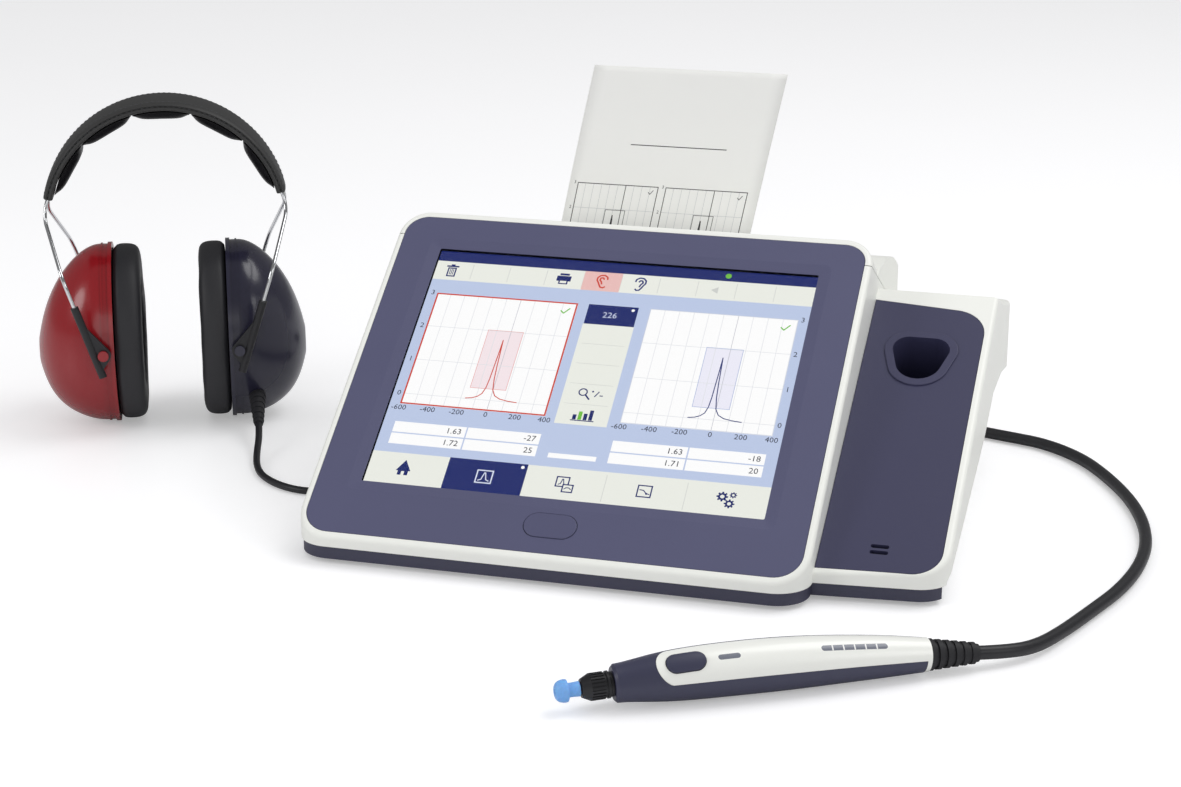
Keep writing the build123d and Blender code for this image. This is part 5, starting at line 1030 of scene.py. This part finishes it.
class TYMP_OT_cord_straps(bpy.types.Operator):
    """Makes the straps that hold the two coils"""

    bl_idname = "tymp.cord_straps"
    bl_label = "Coil straps"

    def execute(self, context):
        weave, tree, shader = start_material("strap_weave", light(38, 38, 42), 0.85)
        threads = pattern(tree, "ShaderNodeTexWave", 5.0)
        settle(threads, Distortion=0.6)
        cross = pattern(tree, "ShaderNodeTexWave", 5.0)
        cross.bands_direction = "Y"
        first = emboss(tree, shader, threads.outputs["Fac"], 0.08)
        emboss(tree, shader, cross.outputs["Fac"], 0.08, first)
        settle(shader, Sheen_Weight=0.4)
        straps = bmesh.new()
        sizes = context.scene.tymp_cords
        coils = ((PROBE_COIL, sizes.probe_cord), (HEADSET_COIL, sizes.headset_cord))
        for (centre, outer, pitch, turns, low), diameter in coils:
            inner = outer - pitch * turns / 2
            half_width = (outer - inner + diameter) / 2 + STRAP_ROOM
            half_height = (pitch + diameter) / 2 + STRAP_ROOM
            made = bmesh.ops.create_circle(straps, segments=48, radius=1)
            for vert in made["verts"]:
                angle = math.atan2(vert.co.y, vert.co.x)
                ways = (math.cos(angle), math.sin(angle))
                flat = [math.copysign(abs(way) ** 0.45, way) for way in ways]
                vert.co = (
                    centre[0] - STRAP_WIDTH / 2,
                    centre[1] + (outer + inner) / 2 + flat[0] * half_width,
                    low + pitch / 2 + flat[1] * half_height,
                )
            grown = bmesh.ops.extrude_edge_only(straps, edges=edges_of(made["verts"]))
            far = [part for part in grown["geom"] if isinstance(part, bmesh.types.BMVert)]
            bmesh.ops.translate(straps, vec=(STRAP_WIDTH, 0, 0), verts=far)
        nodes = ("cord_ties",)
        piece = put(straps, "coil_straps", [weave], "console", nodes, 60)
        thickened(piece, 0.9, 0.0)
        return {"FINISHED"}


# Finishes of the CAD pieces


def dress(material, *names):
    """Gives carried-over pieces their material."""
    for name in names:
        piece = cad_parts[name]
        piece.data.materials.clear()
        piece.data.materials.append(material)


class TYMP_OT_finishes(bpy.types.Operator):
    """Gives each carried-over piece its material"""

    bl_idname = "tymp.finishes"
    bl_label = "Finishes"

    def execute(self, context):
        shades = {
            name: tuple(getattr(context.scene.tymp_finish, name))
            for name in TYMP_finish_colours.__annotations__
        }
        leather = shades["leather_black"]
        leatherette("cushion_black", leather, 0.26, 1.6, 0.03)
        leatherette("band_black", leather, 0.42, 0.9, 0.06)
        leatherette("pad_black", scaled(leather, 0.8), 0.36, 1.1, 0.05)
        soft_rubber("cord_sheath", shades["rubber_black"], 0.42)

        # The console's shell
        white = moulded("white_shell", shades["white_shell"], 0.42, 0.6, 0.02, 0.02)
        dress(white, "upper_housing", "printer_lid")
        tray = moulded("tray_dark", shades["tray_dark"], 0.5, 0.6, 0.05)
        dress(tray, "base_tray", "connector_plate")
        bezel = moulded("bezel_grey", shades["bezel_grey"], 0.5, 0.5, 0.05, 0.06)
        dress(bezel, "display_bezel")
        key = moulded("key_grey", scaled(shades["bezel_grey"], 0.95), 0.45, 0.5, 0.03)
        dress(key, "power_button")
        cradle = moulded("cradle_grey", shades["cradle_grey"], 0.5, 0.5, 0.05, 0.06)
        dress(cradle, "cradle_panel", "probe_cup")
        paper = moulded("paper", shades["paper_white"], 0.75, 0.35, 0.015, 0.02)
        dress(paper, "paper_roll", "paper_web")

        # The hand probe
        probe_dark = moulded("probe_dark", shades["probe_dark"], 0.38, 0.6, 0.03)
        dress(probe_dark, "probe_lower_shell", "probe_button")
        probe_white = moulded("probe_white", shades["white_shell"], 0.3, 0.8, 0.01, 0.02, 0.2)
        dress(probe_white, "probe_upper_shell")
        dress(moulded("lamp_lens", light(112, 116, 128), 0.25, 0.6, 0.01, 0.04, 0.3), "probe_lights")

        # The headset
        for side in ("red", "dark"):
            shade = shades["cup_" + side]
            dress(moulded("cup_" + side, shade, 0.24, 1.4, 0.02, 0.05, 0.2), side + "_cup")
        dress(soft_rubber("foam_black", light(34, 34, 36), 0.85), "red_driver", "dark_driver")
        chrome = metal("chrome_wire", (0.78, 0.79, 0.81), 0.1, (1, 1, 0.1), 0.005)
        dress(chrome, "right_yoke_wires", "left_yoke_wires")

        # What several pieces share
        dress(
            moulded("black_plastic", light(26, 26, 30), 0.4, 0.5, 0.03),
            "speaker", "power_inlet", "probe_plug", "headset_plug", "right_yoke_sleeves",
            "left_yoke_sleeves", "probe_collar", "lcd_module", "probe_tip_core",
        )
        dress(
            soft_rubber("rubber_black", shades["rubber_black"], 0.6),
            "front_foot", "round_feet", "platen_roller", "probe_strain_relief", "headset_relief",
        )
        dress(
            metal("drawn_steel", (0.55, 0.55, 0.57), 0.32, (0.1, 1, 1), 0.02),
            "lid_hinge_rod", "case_screws", "thermal_head", "tear_bar", "usb_port",
            "headset_socket", "probe_socket",
        )
        dress(circuit_board("circuit_board"), "switch_board", "main_board", "probe_board")
        ivory = moulded("ivory_plastic", light(196, 194, 186), 0.45)
        dress(ivory, "paper_spindle", "printer_motor", "air_pump")
        dress(clear("clear_tube", (0.86, 0.9, 0.92), 0.2, 1.38), "pressure_tube")
        return {"FINISHED"}


# Stage


def soft_lamp(name, place, aim, width, power):
    """A large soft lamp that points at a place."""
    lamp = bpy.data.lights.new(name, "AREA")
    lamp.shape = "DISK"
    lamp.size = width
    lamp.energy = power
    carrier = bpy.data.objects.new(name, lamp)
    carrier.location = place
    carrier.rotation_mode = "QUATERNION"
    carrier.rotation_quaternion = (Vector(aim) - Vector(place)).to_track_quat("-Z", "Y")
    bpy.context.scene.collection.objects.link(carrier)


def seen_share(tree, path):
    """1 for rays of the camera, also through glass, and 0 for the rest."""
    kinds = [path.outputs[name] for name in ("Is Camera Ray", "Is Transmission Ray")]
    return reckoned(tree, "MAXIMUM", *kinds)


class TYMP_OT_stage(bpy.types.Operator):
    """Sets up the floor, the light and the camera"""

    bl_idname = "tymp.stage"
    bl_label = "Stage"

    def execute(self, context):
        scene = context.scene
        settings = scene.tymp_stage
        world = bpy.data.worlds.new("studio")
        world.use_nodes = True
        tree = world.node_tree
        background = tree.nodes["Background"]
        settle(background, Color=(1, 1, 1, 1))
        path = tree.nodes.new("ShaderNodeLightPath")
        unseen = spread(tree, path.outputs["Is Glossy Ray"], settings.sky, settings.mirrored)
        whole = spread(tree, seen_share(tree, path), 0.0, 1.0)
        tree.links.new(unseen.outputs["Result"], whole.inputs["To Min"])
        tree.links.new(whole.outputs["Result"], background.inputs["Strength"])
        scene.world = world

        shade = tuple(settings.floor)
        material, tree, shader = start_material("pale_floor", shade, 0.32)
        settle(shader, Specular_IOR_Level=0.3, Emission_Color=(1, 1, 1, 1))
        path = tree.nodes.new("ShaderNodeLightPath")
        lift = reckoned(tree, "MULTIPLY", seen_share(tree, path), FLOOR_LIFT)
        tree.links.new(lift, shader.inputs["Emission Strength"])
        mottled(tree, shader, clouds(tree, 300.0), shade, 0.99, 1.01)
        ground = bmesh.new()
        bmesh.ops.create_circle(ground, cap_ends=True, segments=64, radius=9.0)
        bmesh.ops.translate(ground, vec=(0, 0, -0.0003), verts=ground.verts)
        mesh = bpy.data.meshes.new("floor")
        ground.to_mesh(mesh)
        ground.free()
        mesh.materials.append(material)
        floor = bpy.data.objects.new("floor", mesh)
        scene.collection.objects.link(floor)

        aim = (-0.02, 0.1, 0.08)
        soft_lamp("lamp_over", (0.8, 0.6, 1.7), aim, 1.2, 12.0 * settings.lamp)
        soft_lamp("lamp_left", (-1.7, -1.2, 1.1), aim, 0.9, 9.0 * settings.lamp)
        soft_lamp("lamp_right", (1.8, -0.6, 0.9), aim, 0.8, 4.0 * settings.lamp)
        soft_lamp("lamp_front", (0.2, -2.0, 0.5), aim, 1.0, 3.0 * settings.lamp)

        camera = bpy.data.cameras.new("camera")
        camera.sensor_width = 36.0
        camera.lens = 2441.5 / 1181 * 36.0
        camera.clip_start, camera.clip_end = 0.05, 40.0
        carrier = bpy.data.objects.new("camera", camera)
        carrier.location = (0.3301, -1.092, 0.4592)
        carrier.rotation_euler = (math.radians(90 - 17.66), 0, math.radians(15.78))
        scene.collection.objects.link(carrier)
        scene.camera = carrier
        scene.view_settings.view_transform = "Standard"
        return {"FINISHED"}


OPERATORS = (
    TYMP_OT_finishes,
    TYMP_OT_cords,
    TYMP_OT_cord_straps,
    TYMP_OT_display,
    TYMP_OT_printout,
    TYMP_OT_probe_details,
    TYMP_OT_ear_cushions,
    TYMP_OT_headband,
    TYMP_OT_stage,
)


class TYMP_PT_panel(bpy.types.Panel):
    """Settings and steps of the tympanometer"""

    bl_label = "Tympanometer"
    bl_idname = "TYMP_PT_panel"
    bl_space_type = "VIEW_3D"
    bl_region_type = "UI"
    bl_category = "Tympanometer"

    def draw(self, context):
        column = self.layout.column()
        for name, group in GROUPS.items():
            box = column.box()
            for setting in group.__annotations__:
                box.prop(getattr(context.scene, name), setting)
        for operator in OPERATORS:
            column.operator(operator.bl_idname)


def register():
    for group in GROUPS.values():
        bpy.utils.register_class(group)
    for name, group in GROUPS.items():
        setattr(bpy.types.Scene, name, bpy.props.PointerProperty(type=group))
    for operator in OPERATORS:
        bpy.utils.register_class(operator)
    bpy.utils.register_class(TYMP_PT_panel)


def unregister():
    bpy.utils.unregister_class(TYMP_PT_panel)
    for operator in reversed(OPERATORS):
        bpy.utils.unregister_class(operator)
    for name in GROUPS:
        delattr(bpy.types.Scene, name)
    for group in GROUPS.values():
        bpy.utils.unregister_class(group)


def main():
    register()
    for operator in OPERATORS:
        step = operator.bl_idname.split(".")[1]
        getattr(bpy.ops.tymp, step)()


if __name__ == "__main__":
    main()
